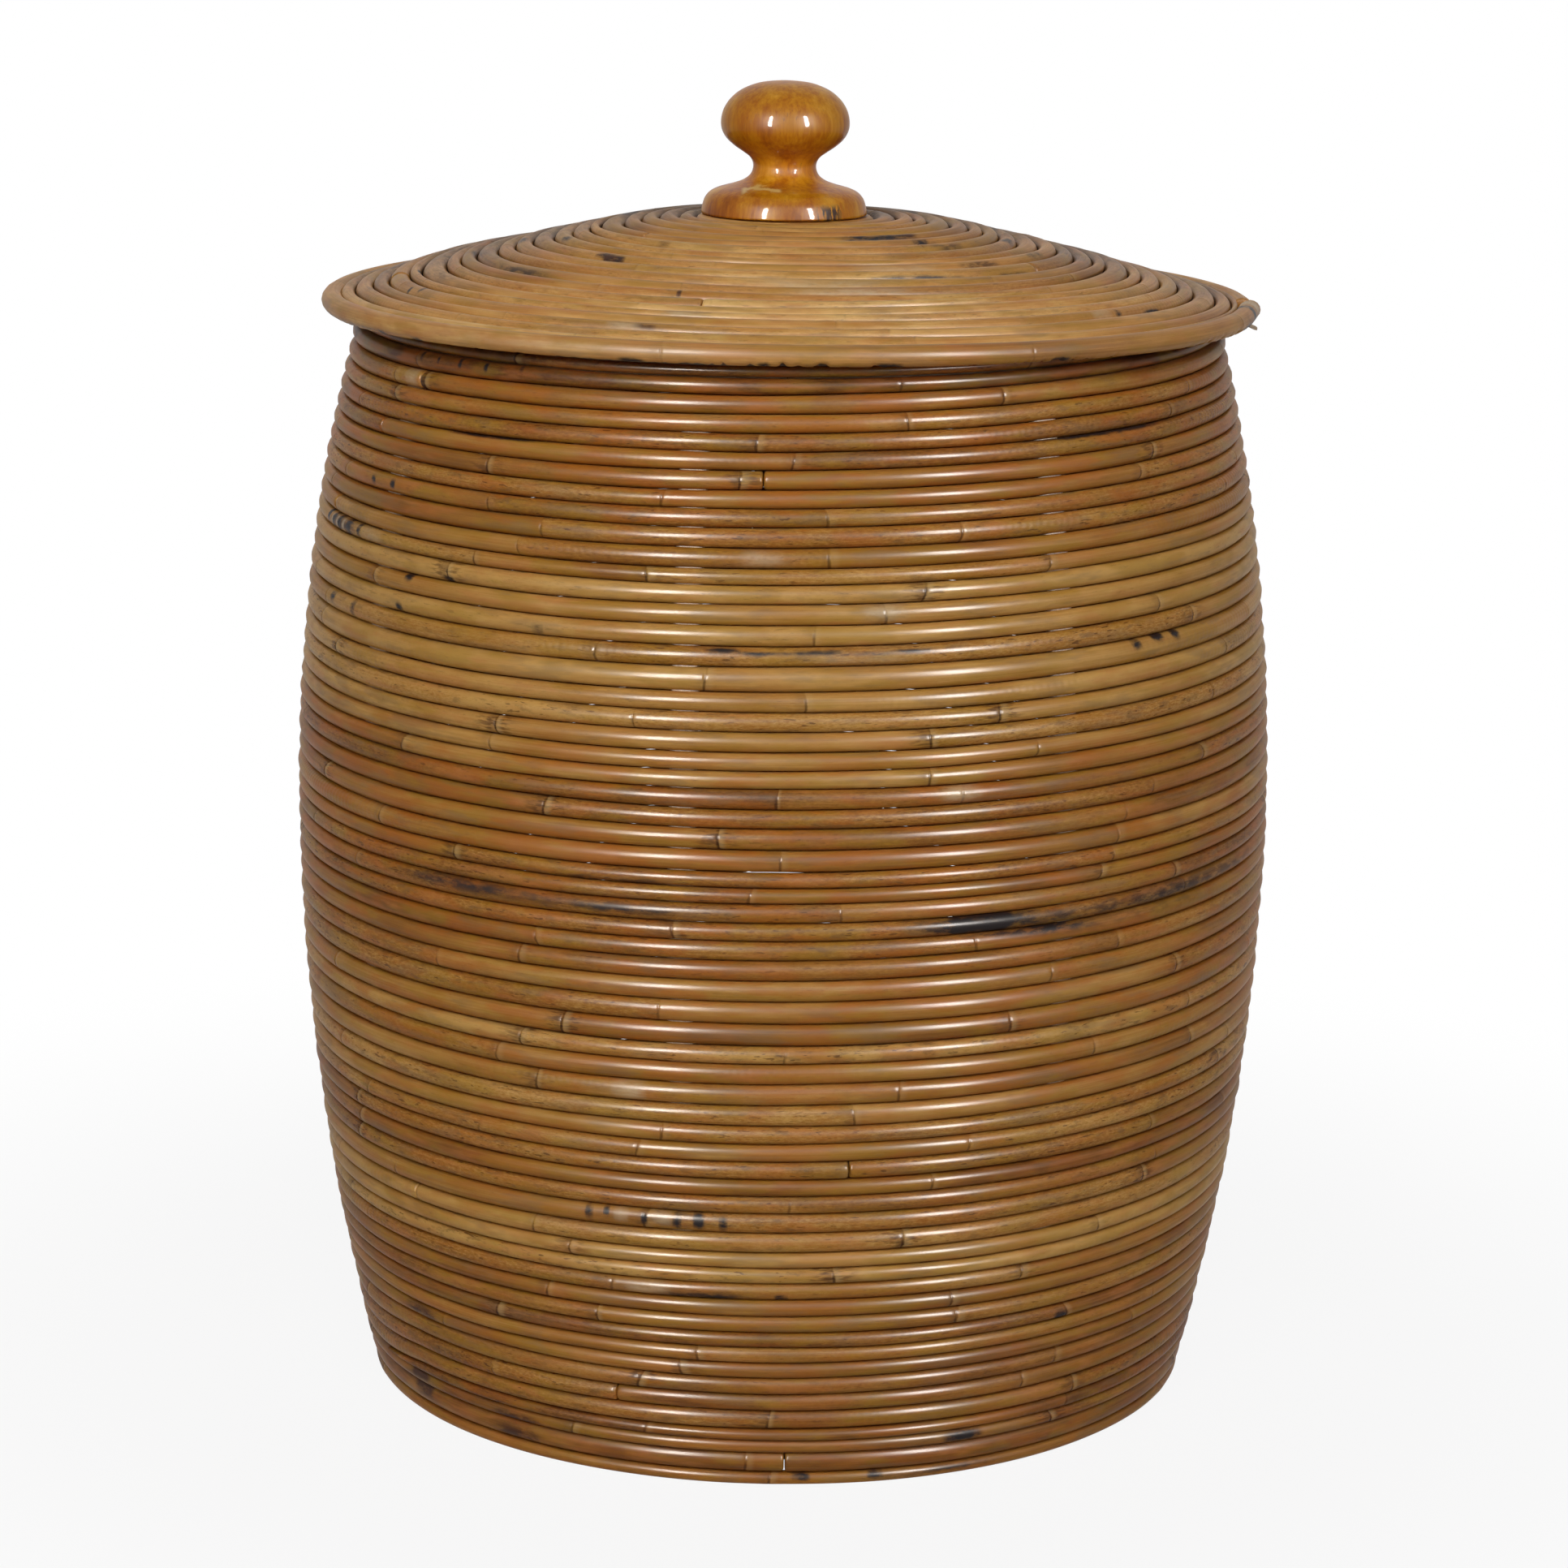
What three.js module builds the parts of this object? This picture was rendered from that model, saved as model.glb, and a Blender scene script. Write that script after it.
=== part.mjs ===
// A lidded storage basket of coiled cane. Millimetres, +Z up. The origin is the middle of the foot on the
// floor, and the front of the basket faces -Y.
//
// The wall is one long right-handed coil of round canes laid end to end, between three level hoops at the
// foot and one at the mouth. The base and the lid are flat coils of the same cane. Split-cane ribs and
// battens on the inside hold the rows, and a turned wooden knob is screwed through the middle of the lid.

import * as THREE from 'three';

// Cane
const caneDiameter = 7.75;
const rowGap = 0.45;
const cornerSwell = 1.1;
const jointGap = 0.3;
const seatGap = 0.3;

// Wall
const wallHeight = 488;
const footRadius = 186;
const bellyRadius = 220;
const bellyHeight = 270;
const mouthRadius = 191.5;

// Level hoops under the coil, with the row that each fills along the wall, and the one over it
const footRows = [5.5, 10.1, 6.3];
const mouthRow = 8.2;

// Butt joints of the hoops, in steps of a sixteenth of a turn round from the coil's start
const footJointStep = 3;
const footJointShift = 5;
const mouthJointStep = 14;
const rimJointStep = 11;
const ringJointStep = 7;

// Places where two canes of a coil meet, in turns from its start, for a coil with so many rows. They
// keep their share of the coil when a size gives it more rows or fewer.
const wallJoints = {
  rows: 56,
  turns: [
    2.38, 5.05, 8.9, 12.3, 16.46, 19.95, 22.9, 26.0, 29.85, 33.05,
    36.9, 39.95, 42.95, 45.0, 47.24, 49.1, 51.43, 52.27, 55.29,
  ],
};
const baseJoints = { rows: 21, turns: [9.6, 15.3] };
const lidJoints = { rows: 24, turns: [9.3, 14.6, 18.4, 21.2] };

// Ribs inside the wall
const wallRibCount = 8;
const wallRibWidth = 12;
const wallRibDepth = 5;

// Base
const battenCount = 3;
const battenWidth = 16;
const battenDepth = 6;
const battenSpacing = 100;
const battenLift = 1;

// Lid
const lidOverhang = 17.1;
const lidSlope = 0.245;
const lidLevelMargin = 3;
const lidBend = 40;
const rimCaneDiameter = 9.2;
const rimLift = 1.5;
const rimSeat = 0.7;
const lidRibCount = 4;
const lidRibWidth = 12;
const lidRibDepth = 6;

// Locating ring under the lid
const ringClearance = 3;
const ringHeight = 18;
const ringThickness = 5;
const ribToRing = 5;

// Knob, with heights above its foot
const knobFootRadius = 37;
const knobEdgeWidth = 7.5;
const knobEdgeRise = 8;
const knobEdgeHeight = 2.5;
const knobShoulderRise = 1.5;
const knobNeckRadius = 13.2;
const knobNeckHeight = 21.5;
const knobBallRadius = 27.8;
const knobBallHalfHeight = 17;
const knobBallHeight = 42.1;
const knobBallStart = -Math.PI / 4;

// What holds the knob
const coilHole = 8;
const hubMargin = 3;
const hubThickness = 8;
const screwRadius = 2.5;
const screwBite = 22;
const screwHeadRadius = 5;
const screwHeadHeight = 3.5;
const washerRadius = 9;
const washerThickness = 1.2;

// Facets
const caneSides = 5;
const turnSteps = 16;
const baseSteps = 12;
const coarseTurns = 4;
const startAzimuth = THREE.MathUtils.degToRad(112.5);
const skiveTurns = 0.25;
const leastStep = 0.02;
const wallRibSpans = 8;
const curvePoints = 4;
const knobSegments = 20;
const smallSegments = 12;

const rowPitch = caneDiameter + rowGap;
const caneReach = caneDiameter / 2 * cornerSwell;

// Corners of a cane's section: side points out of the coil and stack points from row to row.
const corners = Array.from({ length: caneSides }, (unused, index) => {
  const angle = 2 * Math.PI * index / caneSides;
  return { side: Math.cos(angle), stack: Math.sin(angle) };
});
const tallest = Math.max(...corners.map((corner) => corner.stack));
const innerSide = -Math.min(...corners.map((corner) => corner.side));

// The middle of a facet is nearer to the axis than its edges, in this share.
const chordShare = Math.cos(Math.PI / turnSteps);

// A meridian line through the middles of the canes, as radius and height, measured along its length.
class Outline extends THREE.Curve {
  constructor(placeAt) {
    super();
    this.placeAt = placeAt;
    this.arcLengthDivisions = 600;
  }

  getPoint(share, target = new THREE.Vector2()) {
    const [radius, height] = this.placeAt(share);
    return target.set(radius, height);
  }

  placeAlong(length) {
    return this.getPointAt(THREE.MathUtils.clamp(length / this.getLength(), 0, 1));
  }

  headingAlong(length) {
    return this.getTangentAt(THREE.MathUtils.clamp(length / this.getLength(), 0, 1));
  }
}

// Radius over the outside of the wall: a parabola from the belly down to the foot, another up to the mouth.
function wallRadiusAt(height) {
  if (height < bellyHeight) {
    return bellyRadius - (bellyRadius - footRadius) * ((bellyHeight - height) / bellyHeight) ** 2;
  }
  const share = (height - bellyHeight) / (wallHeight - bellyHeight);
  return bellyRadius - (bellyRadius - mouthRadius) * share ** 2;
}

function aroundAxis(radius, height, azimuth) {
  return new THREE.Vector3(radius * Math.cos(azimuth), radius * Math.sin(azimuth), height);
}

// One section of a cane between two lengths along an outline, in the meridian plane at an azimuth.
// Facing is 1 where the outer corner points to the right of the outline's heading, and -1 to its left.
function caneSection(outline, lower, upper, azimuth, facing) {
  const middle = (lower + upper) / 2;
  const place = outline.placeAlong(middle);
  const heading = outline.headingAlong(middle);
  const across = new THREE.Vector2(heading.y, -heading.x).multiplyScalar(facing);
  return corners.map(({ side, stack }) => {
    const corner = place.clone()
      .addScaledVector(across, side * caneReach)
      .addScaledVector(heading, stack / tallest * (upper - lower) / 2);
    return aroundAxis(corner.x, corner.y, azimuth);
  });
}

function blend(section, towards, share) {
  return section.map((corner, index) => corner.clone().lerp(towards[index], share));
}

// A closed solid through a row of sections with the same number of corners, its two ends capped.
function solidThrough(sections) {
  const sides = sections[0].length;
  const last = (sections.length - 1) * sides;
  const faces = [];
  for (let ring = 0; ring < last; ring += sides) {
    for (let corner = 0; corner < sides; corner += 1) {
      const next = (corner + 1) % sides;
      faces.push([ring + corner, ring + next, ring + sides + next]);
      faces.push([ring + corner, ring + sides + next, ring + sides + corner]);
    }
  }
  for (let corner = 1; corner < sides - 1; corner += 1) {
    faces.push([0, corner + 1, corner]);
    faces.push([last, last + corner, last + corner + 1]);
  }
  const points = sections.flat();
  const volume = faces.reduce((sum, [a, b, c]) => {
    return sum + points[a].dot(points[b].clone().cross(points[c]));
  }, 0);
  const outward = volume > 0 ? faces : faces.map(([a, b, c]) => [a, c, b]);
  const geometry = new THREE.BufferGeometry().setFromPoints(points);
  geometry.setIndex(outward.flat());
  return geometry;
}

// The canes of a coil that climbs one row a turn along its outline, from one level edge to the other.
// The first and the last turn are pared to a wedge against those edges. There is one solid a cane, and
// least is the smallest gap between one turn and the next, measured from corner to corner.
function coilCanes({ outline, from, to, facing, joints, steps, coarse = 0 }) {
  const rows = Math.round((to - from) / rowPitch);
  const pitch = (to - from) / rows;
  const stepAngle = 2 * Math.PI / steps;
  const first = skiveTurns;
  const last = rows + 1 - skiveTurns;

  function sectionAt(step) {
    const turn = step / steps;
    const upper = Math.min(from + turn * pitch, to) - rowGap / 2;
    const lower = Math.max(from + (turn - 1) * pitch, from) + rowGap / 2;
    return caneSection(outline, lower, upper, startAzimuth + step * stepAngle, facing);
  }

  // Inner turns take every second step, so that small circles have fewer facets.
  function strideAt(step) {
    return step < coarse * steps ? 2 : 1;
  }

  function cutAt(step) {
    const stride = strideAt(step);
    const before = Math.floor(step / stride) * stride;
    return blend(sectionAt(before), sectionAt(before + stride), (step - before) / stride);
  }

  function caneBetween(startTurn, endTurn) {
    const [start, end] = [[startTurn, 1], [endTurn, -1]].map(([turn, way]) => {
      const radius = outline.placeAlong(from + turn * pitch).x;
      return turn * steps + way * jointGap / 2 / (radius * stepAngle);
    });
    const sections = [cutAt(start)];
    for (let step = Math.ceil(start); step < end; step += 1) {
      const clear = Math.min(step - start, end - step) > leastStep;
      if (clear && step % strideAt(step) === 0) {
        sections.push(sectionAt(step));
      }
    }
    sections.push(cutAt(end));
    return solidThrough(sections);
  }

  function gapAt(step) {
    const below = sectionAt(step);
    const above = sectionAt(step + steps);
    return Math.min(...below.flatMap((low) => above.map((high) => low.distanceTo(high))));
  }

  const ends = [first, ...joints.turns.map((turn) => turn * rows / joints.rows), last];
  const canes = ends.slice(1).map((end, index) => caneBetween(ends[index], end));
  let least = Infinity;
  for (let step = Math.ceil(first * steps); step + steps < last * steps; step += 1) {
    least = Math.min(least, gapAt(step));
  }
  return { canes, rows, least };
}

// A hoop of one bent piece, its butt joint so many steps round. The section is a function of azimuth.
function hoop(sectionAt, jointStep, radius) {
  const stepAngle = 2 * Math.PI / turnSteps;
  const half = jointGap / 2 / (radius * stepAngle);
  const sections = Array.from({ length: turnSteps + 1 }, (unused, step) => {
    return sectionAt(startAzimuth + (jointStep + step) * stepAngle);
  });
  const start = blend(sections[0], sections[1], half);
  const end = blend(sections[turnSteps], sections[turnSteps - 1], half);
  return solidThrough([start, ...sections.slice(1, turnSteps), end]);
}

// A flat outline in the meridian plane, as radius and height, given a width across that plane.
function meridianStrip(outline, width) {
  const shape = new THREE.Shape(outline.map(([radius, height]) => new THREE.Vector2(radius, height)));
  const geometry = new THREE.ExtrudeGeometry(shape, { depth: width, bevelEnabled: false });
  geometry.rotateX(Math.PI / 2);
  geometry.translate(0, width / 2, 0);
  return geometry;
}

// A turned piece about the vertical axis from points of radius and height.
function turned(points, segments) {
  const profile = points.map(([radius, height]) => new THREE.Vector2(radius, height));
  return new THREE.LatheGeometry(profile, segments).rotateX(Math.PI / 2);
}

function piece(name, geometry, { color, roughness, metalness = 0 }) {
  const mesh = new THREE.Mesh(geometry, new THREE.MeshStandardMaterial({ color, roughness, metalness }));
  mesh.name = name;
  return mesh;
}

function numbered(name, index) {
  return `${name}_${String(index + 1).padStart(2, '0')}`;
}

// The middle of a facet of the coils, so many steps round.
function facetAzimuth(step) {
  return startAzimuth + (step + 0.5) * 2 * Math.PI / turnSteps;
}

// Wall
const wallOutline = new Outline((share) => {
  const height = share * wallHeight;
  return [wallRadiusAt(height) - caneReach, height];
});
const wallLength = wallOutline.getLength();
const footEdges = footRows.map((unused, index) => {
  return footRows.slice(0, index + 1).reduce((sum, row) => sum + row, 0);
});

// The lowest foot hoop is cut flat underneath, where the basket stands.
function footSection(azimuth) {
  const section = caneSection(wallOutline, 0, footEdges[0] - rowGap / 2, azimuth, 1);
  return section.map((corner, index) => (corners[index].stack < 0 ? corner.setZ(0) : corner));
}

function hoopSection(index, azimuth) {
  const lower = footEdges[index - 1] + rowGap / 2;
  return caneSection(wallOutline, lower, footEdges[index] - rowGap / 2, azimuth, 1);
}

function mouthSection(azimuth) {
  return caneSection(wallOutline, wallLength - mouthRow + rowGap / 2, wallLength, azimuth, 1);
}

const wallCoil = coilCanes({
  outline: wallOutline,
  from: footEdges[footRows.length - 1],
  to: wallLength - mouthRow,
  facing: 1,
  joints: wallJoints,
  steps: turnSteps,
});

// The highest corner of the mouth hoop carries the lid.
const mouthEdge = mouthSection(0).reduce((high, corner) => (corner.z > high.z ? corner : high));

// Radius that is clear inside the wall, at the middle of a facet.
function wallInsideAt(height) {
  return (wallRadiusAt(height) - caneReach * (1 + innerSide)) * chordShare;
}

// Base: the coil lies on the battens, against the first row of the wall.
const baseMiddle = battenLift + battenDepth + seatGap + caneReach * innerSide;
const baseRadius = wallInsideAt(baseMiddle) - seatGap;
const baseOutline = new Outline((share) => [share * baseRadius, baseMiddle]);
const baseCoil = coilCanes({
  outline: baseOutline,
  from: coilHole,
  to: baseRadius,
  facing: -1,
  joints: baseJoints,
  steps: baseSteps,
  coarse: coarseTurns,
});

// Battens: half-round splits under the base coil, flat side up, wedged inside the foot hoop.
const footInside = Math.min(...footSection(0).map((corner) => corner.x)) * chordShare;
const battenReach = footInside - seatGap;

function battenGeometry(offset) {
  const half = battenWidth / 2;
  const halfLength = Math.sqrt(battenReach ** 2 - (Math.abs(offset) + half) ** 2);
  const shape = new THREE.Shape();
  shape.moveTo(half, battenDepth);
  shape.lineTo(-half, battenDepth);
  shape.quadraticCurveTo(-half, 0, 0, 0);
  shape.quadraticCurveTo(half, 0, half, battenDepth);
  const settings = { depth: 2 * halfLength, bevelEnabled: false, curveSegments: 3 };
  const geometry = new THREE.ExtrudeGeometry(shape, settings);
  geometry.rotateX(Math.PI / 2);
  geometry.rotateZ(Math.PI / 2);
  geometry.translate(-halfLength, offset, battenLift);
  return geometry;
}

// Lid: level under the knob, then an even slope to the rim. Heights are above the mouth's edge.
const bendStart = knobFootRadius + lidLevelMargin;
const bendEnd = bendStart + lidBend;
const slopeLength = Math.hypot(1, lidSlope);
const rimReach = rimCaneDiameter / 2 * cornerSwell;
const rimMiddleRadius = mouthRadius + lidOverhang - rimReach;
const lidCoilRadius = rimMiddleRadius - rimReach * innerSide - rimSeat;

function lidDropAt(radius) {
  if (radius < bendStart) {
    return 0;
  }
  if (radius < bendEnd) {
    return lidSlope * (radius - bendStart) ** 2 / (2 * lidBend);
  }
  return lidSlope * (radius - (bendStart + bendEnd) / 2);
}

const lidSeatHeight = seatGap + caneReach * innerSide * slopeLength;
const lidTopHeight = lidSeatHeight + lidDropAt(mouthEdge.x);

function lidMiddleAt(radius) {
  return lidTopHeight - lidDropAt(radius);
}

function lidUndersideAt(radius) {
  return lidMiddleAt(radius) - caneReach * innerSide * slopeLength;
}

const lidOutline = new Outline((share) => [share * lidCoilRadius, lidMiddleAt(share * lidCoilRadius)]);
const lidCoil = coilCanes({
  outline: lidOutline,
  from: coilHole,
  to: lidOutline.getLength(),
  facing: -1,
  joints: lidJoints,
  steps: turnSteps,
  coarse: coarseTurns,
});

function rimSection(azimuth) {
  const middle = lidMiddleAt(rimMiddleRadius) + rimLift;
  return corners.map(({ side, stack }) => {
    const height = middle + stack / tallest * rimCaneDiameter / 2;
    return aroundAxis(rimMiddleRadius + side * rimReach, height, azimuth);
  });
}

// Locating ring: a split strip that drops inside the mouth, its top edge against the lid's underside.
const ringOuterRadius = wallInsideAt(wallHeight) / chordShare - ringClearance;
const ringInnerRadius = ringOuterRadius - ringThickness;
const ringBottom = lidUndersideAt(ringOuterRadius) - seatGap - ringHeight;

function ringSection(azimuth) {
  return [
    aroundAxis(ringInnerRadius, ringBottom, azimuth),
    aroundAxis(ringOuterRadius, ringBottom, azimuth),
    aroundAxis(ringOuterRadius, lidUndersideAt(ringOuterRadius) - seatGap, azimuth),
    aroundAxis(ringInnerRadius, lidUndersideAt(ringInnerRadius) - seatGap, azimuth),
  ];
}

// Ribs inside the wall stand on the base coil and stop below the locating ring.
function wallRibOutline() {
  const foot = baseMiddle + caneReach + seatGap;
  const top = mouthEdge.z + ringBottom - ribToRing;
  const back = Array.from({ length: wallRibSpans + 1 }, (unused, index) => {
    const height = foot + (top - foot) * index / wallRibSpans;
    return [wallInsideAt(height) - seatGap, height];
  });
  const face = back.map(([radius, height]) => [radius - wallRibDepth, height]);
  return [...back, ...face.reverse()];
}

// Ribs under the lid run from the hub to the locating ring.
const hubRadius = knobFootRadius - hubMargin;

function lidRibOutline() {
  const inner = hubRadius + seatGap;
  const outer = ringInnerRadius * chordShare - seatGap;
  const radii = [inner, bendStart, (bendStart + bendEnd) / 2, bendEnd, outer];
  const top = radii.map((radius) => [radius, lidUndersideAt(radius / chordShare) - seatGap]);
  const bottom = top.map(([radius, height]) => [radius, height - lidRibDepth]);
  return [...top, ...bottom.reverse()];
}

// Knob: a round-edged foot, a waist and a flattened ball, bored from below for its screw.
const shankHole = screwRadius + seatGap;
const knobFootHeight = lidTopHeight + caneReach + seatGap;

function knobProfile() {
  const ballStart = [
    knobBallRadius * Math.cos(knobBallStart),
    knobBallHeight + knobBallHalfHeight * Math.sin(knobBallStart),
  ];
  const edgeMiddle = knobFootRadius - knobEdgeWidth;
  const shoulderHeight = knobEdgeHeight + knobEdgeRise + knobShoulderRise;
  const path = new THREE.Path();
  path.moveTo(shankHole, 0);
  path.lineTo(knobFootRadius, 0);
  path.absellipse(edgeMiddle, knobEdgeHeight, knobEdgeWidth, knobEdgeRise, 0, Math.PI / 2, false, 0);
  path.quadraticCurveTo(knobNeckRadius, shoulderHeight, knobNeckRadius, knobNeckHeight);
  path.quadraticCurveTo(knobNeckRadius, (knobNeckHeight + ballStart[1]) / 2, ...ballStart);
  path.absellipse(0, knobBallHeight, knobBallRadius, knobBallHalfHeight, knobBallStart, Math.PI / 2, false, 0);
  const outside = path.getPoints(curvePoints).map((point) => [point.x, point.y]);
  outside.pop();
  const holeTop = screwBite + seatGap;
  return [[0, holeTop], [shankHole, holeTop], ...outside, [0, knobBallHeight + knobBallHalfHeight]];
}

const hubTop = lidTopHeight - caneReach * innerSide - seatGap;
const washerTop = hubTop - hubThickness - seatGap;
const screwHeadTop = washerTop - washerThickness - seatGap;

function hubProfile() {
  const bottom = hubTop - hubThickness;
  return [
    [shankHole, hubTop],
    [shankHole, bottom],
    [hubRadius - hubThickness / 2, bottom],
    [hubRadius, hubTop - hubThickness / 2],
    [hubRadius, hubTop],
    [shankHole, hubTop],
  ];
}

function washerProfile() {
  const bottom = washerTop - washerThickness;
  return [
    [shankHole, washerTop],
    [shankHole, bottom],
    [washerRadius, bottom],
    [washerRadius, washerTop],
    [shankHole, washerTop],
  ];
}

function screwProfile() {
  const bottom = screwHeadTop - screwHeadHeight;
  const tip = knobFootHeight + screwBite;
  return [
    [0, bottom],
    [screwHeadRadius / 2, bottom],
    [screwHeadRadius, bottom + screwHeadHeight / 2],
    [screwHeadRadius, screwHeadTop],
    [screwRadius, screwHeadTop],
    [screwRadius, tip - screwRadius],
    [0, tip],
  ];
}

// Finishes
const wallFinishes = ['#8f6336', '#99703f', '#8a5f33', '#946a3b', '#9f7744'].map((color) => {
  return { color, roughness: 0.32 };
});
const lidFinishes = ['#a97f51', '#a2784b', '#b0875a'].map((color) => ({ color, roughness: 0.42 }));
const splitCane = { color: '#a8865a', roughness: 0.65 };
const turnedWood = { color: '#a26e32', roughness: 0.2 };
const steel = { color: '#8f9094', roughness: 0.4, metalness: 1 };

function addCanes(group, name, canes, finishes) {
  canes.forEach((cane, index) => {
    group.add(piece(numbered(name, index), cane, finishes[index % finishes.length]));
  });
}

function addRound(group, name, count, stride, makeGeometry) {
  for (let index = 0; index < count; index += 1) {
    const mesh = piece(numbered(name, index), makeGeometry(), splitCane);
    mesh.rotation.z = facetAzimuth(index * stride);
    group.add(mesh);
  }
}

const basket = new THREE.Group();
footRows.forEach((unused, index) => {
  const section = index === 0 ? footSection : (azimuth) => hoopSection(index, azimuth);
  const jointStep = footJointStep + index * footJointShift;
  basket.add(piece(numbered('foot_hoop', index), hoop(section, jointStep, footRadius), wallFinishes[2]));
});
addCanes(basket, 'wall_cane', wallCoil.canes, wallFinishes);
basket.add(piece('mouth_hoop', hoop(mouthSection, mouthJointStep, mouthRadius), wallFinishes[0]));
addCanes(basket, 'base_cane', baseCoil.canes, lidFinishes);
for (let index = 0; index < battenCount; index += 1) {
  const offset = (index - (battenCount - 1) / 2) * battenSpacing;
  basket.add(piece(numbered('base_batten', index), battenGeometry(offset), splitCane));
}
addRound(basket, 'wall_rib', wallRibCount, turnSteps / wallRibCount, () => {
  return meridianStrip(wallRibOutline(), wallRibWidth);
});

const lid = new THREE.Group();
lid.position.z = mouthEdge.z;
addCanes(lid, 'lid_cane', lidCoil.canes, lidFinishes);
lid.add(piece('lid_rim_cane', hoop(rimSection, rimJointStep, rimMiddleRadius), lidFinishes[0]));
lid.add(piece('lid_locating_ring', hoop(ringSection, ringJointStep, ringOuterRadius), splitCane));
addRound(lid, 'lid_rib', lidRibCount, turnSteps / lidRibCount, () => {
  return meridianStrip(lidRibOutline(), lidRibWidth);
});
const knob = piece('knob', turned(knobProfile(), knobSegments), turnedWood);
knob.position.z = knobFootHeight;
lid.add(knob);
lid.add(piece('knob_hub', turned(hubProfile(), knobSegments), splitCane));
lid.add(piece('knob_washer', turned(washerProfile(), smallSegments), steel));
lid.add(piece('knob_screw', turned(screwProfile(), smallSegments), steel));

const group = new THREE.Group();
group.add(basket, lid);

for (const [name, coil] of [['wall', wallCoil], ['base', baseCoil], ['lid', lidCoil]]) {
  console.log(`${name} coil: ${coil.rows} rows, least gap between turns ${coil.least.toFixed(3)} mm`);
}

export default group;
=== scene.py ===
# %% [markdown]
# A lidded storage basket of coiled cane.
# The imported model gives the solids of the basket: a wall coiled from long round canes, a flat base, a lid
# coiled the same way, and a turned knob. They are right in size and place, but plain. This lesson makes the
# surfaces that show: round canes with their rings and stains, split-cane ribs, and a lacquered knob.
# The solids stay in the model for the simulation, hidden, and each new surface hides the solid it stands for.

import math

import bpy
import numpy as np
from mathutils import Euler, Matrix


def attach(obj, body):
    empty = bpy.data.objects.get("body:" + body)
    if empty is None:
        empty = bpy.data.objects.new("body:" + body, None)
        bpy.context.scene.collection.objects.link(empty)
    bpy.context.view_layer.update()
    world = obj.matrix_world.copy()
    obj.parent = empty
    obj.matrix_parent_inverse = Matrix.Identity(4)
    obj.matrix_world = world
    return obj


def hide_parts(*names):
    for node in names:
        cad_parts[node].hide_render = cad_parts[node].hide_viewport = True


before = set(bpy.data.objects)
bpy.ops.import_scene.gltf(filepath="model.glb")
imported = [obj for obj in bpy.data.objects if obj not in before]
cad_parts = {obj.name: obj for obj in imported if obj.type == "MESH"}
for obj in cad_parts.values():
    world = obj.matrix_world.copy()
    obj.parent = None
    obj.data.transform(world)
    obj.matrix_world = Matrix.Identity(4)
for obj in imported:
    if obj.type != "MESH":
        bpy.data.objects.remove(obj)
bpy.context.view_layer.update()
scene = bpy.context.scene

# %% [markdown]
# The camera comes first, because it tells which marks of the cane will be seen.
# A long lens from two and a quarter metres away, looking down by thirteen degrees, gives the outline that
# the basket has in its photograph. The photograph isn't quite level either: the basket's axis leans to the
# right in it and the foot drops to the right by the same angle, so the camera is rolled by 0.7 degrees.

# %% The camera
# The tilt is in degrees, where 90 looks level. The roll is in radians.
CAMERA_TILT = 77.08
CAMERA_ROLL = 0.012
camera_data = bpy.data.cameras.new("camera")
camera_data.sensor_width = 36
camera_data.lens = 116.27
camera = bpy.data.objects.new("camera", camera_data)
camera.location = (0.0005, -2.254, 0.7859)
camera_turn = Euler((math.radians(CAMERA_TILT), 0, 0)).to_matrix() @ Matrix.Rotation(CAMERA_ROLL, 3, "Z")
camera.rotation_euler = camera_turn.to_euler()
scene.collection.objects.link(camera)
scene.camera = camera
scene.view_settings.view_transform = "Standard"
print("Lens", round(camera_data.lens, 1), "mm")

# %% [markdown]
# Two tall, narrow lamps stand to the left and to the right of the camera. Each row of cane mirrors them as
# one short streak, and the streaks line up in the two bright bands that a lacquered basket shows in a
# studio. They are seen in gloss only. Wide, soft lamps give the plain light: two in front, and two behind
# for anyone who walks round.

# %% The lamps
def lamp(name, azimuth, width, height, radiance, low=0.05, distance=2.5, gloss=False, tint=(1, 1, 1)):
    """An upright area lamp, so many degrees round to the right of the front, facing the basket's axis.

    Its power in watts is radiance x pi x area, so radiance is how bright its face looks. low is the height
    of its lower edge. A lamp for gloss is seen by shiny rays only, and the others by matt ones only.
    """
    data = bpy.data.lights.new(name, "AREA")
    data.shape = "RECTANGLE"
    data.size = width
    data.size_y = height
    data.energy = radiance * math.pi * width * height
    data.color = tint
    turn = math.radians(azimuth)
    thing = bpy.data.objects.new(name, data)
    thing.location = (distance * math.sin(turn), -distance * math.cos(turn), low + height / 2)
    thing.rotation_euler = (math.radians(90), 0, turn)
    thing.visible_diffuse = not gloss
    thing.visible_glossy = gloss
    scene.collection.objects.link(thing)
    return thing


lamps = [
    lamp("streak_left", -27.5, 0.25, 1.4, 420, low=0.65, gloss=True, tint=(1, 0.93, 0.85)),
    lamp("streak_right", 39.5, 0.26, 1.4, 400, low=0.65, gloss=True, tint=(1, 0.94, 0.89)),
    lamp("soft_left", -12, 1.6, 2.0, 4.55, low=1.2, distance=2.8),
    lamp("soft_right", 13, 1.4, 2.0, 4.0, low=1.2, distance=2.8),
    lamp("soft_back_left", -162, 1.6, 2.2, 1.6, low=0.6, distance=3),
    lamp("soft_back_right", 165, 1.6, 2.2, 1.4, low=0.6, distance=3),
]
print(len(lamps), "lamps")

# %% [markdown]
# Materials are built as short expressions. A Value wraps a socket, so that a sum or product of values adds
# the Math nodes by itself, and a Paint adds any other node. Writing the sum out as nodes by hand would take
# ten lines where one is enough.

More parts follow.
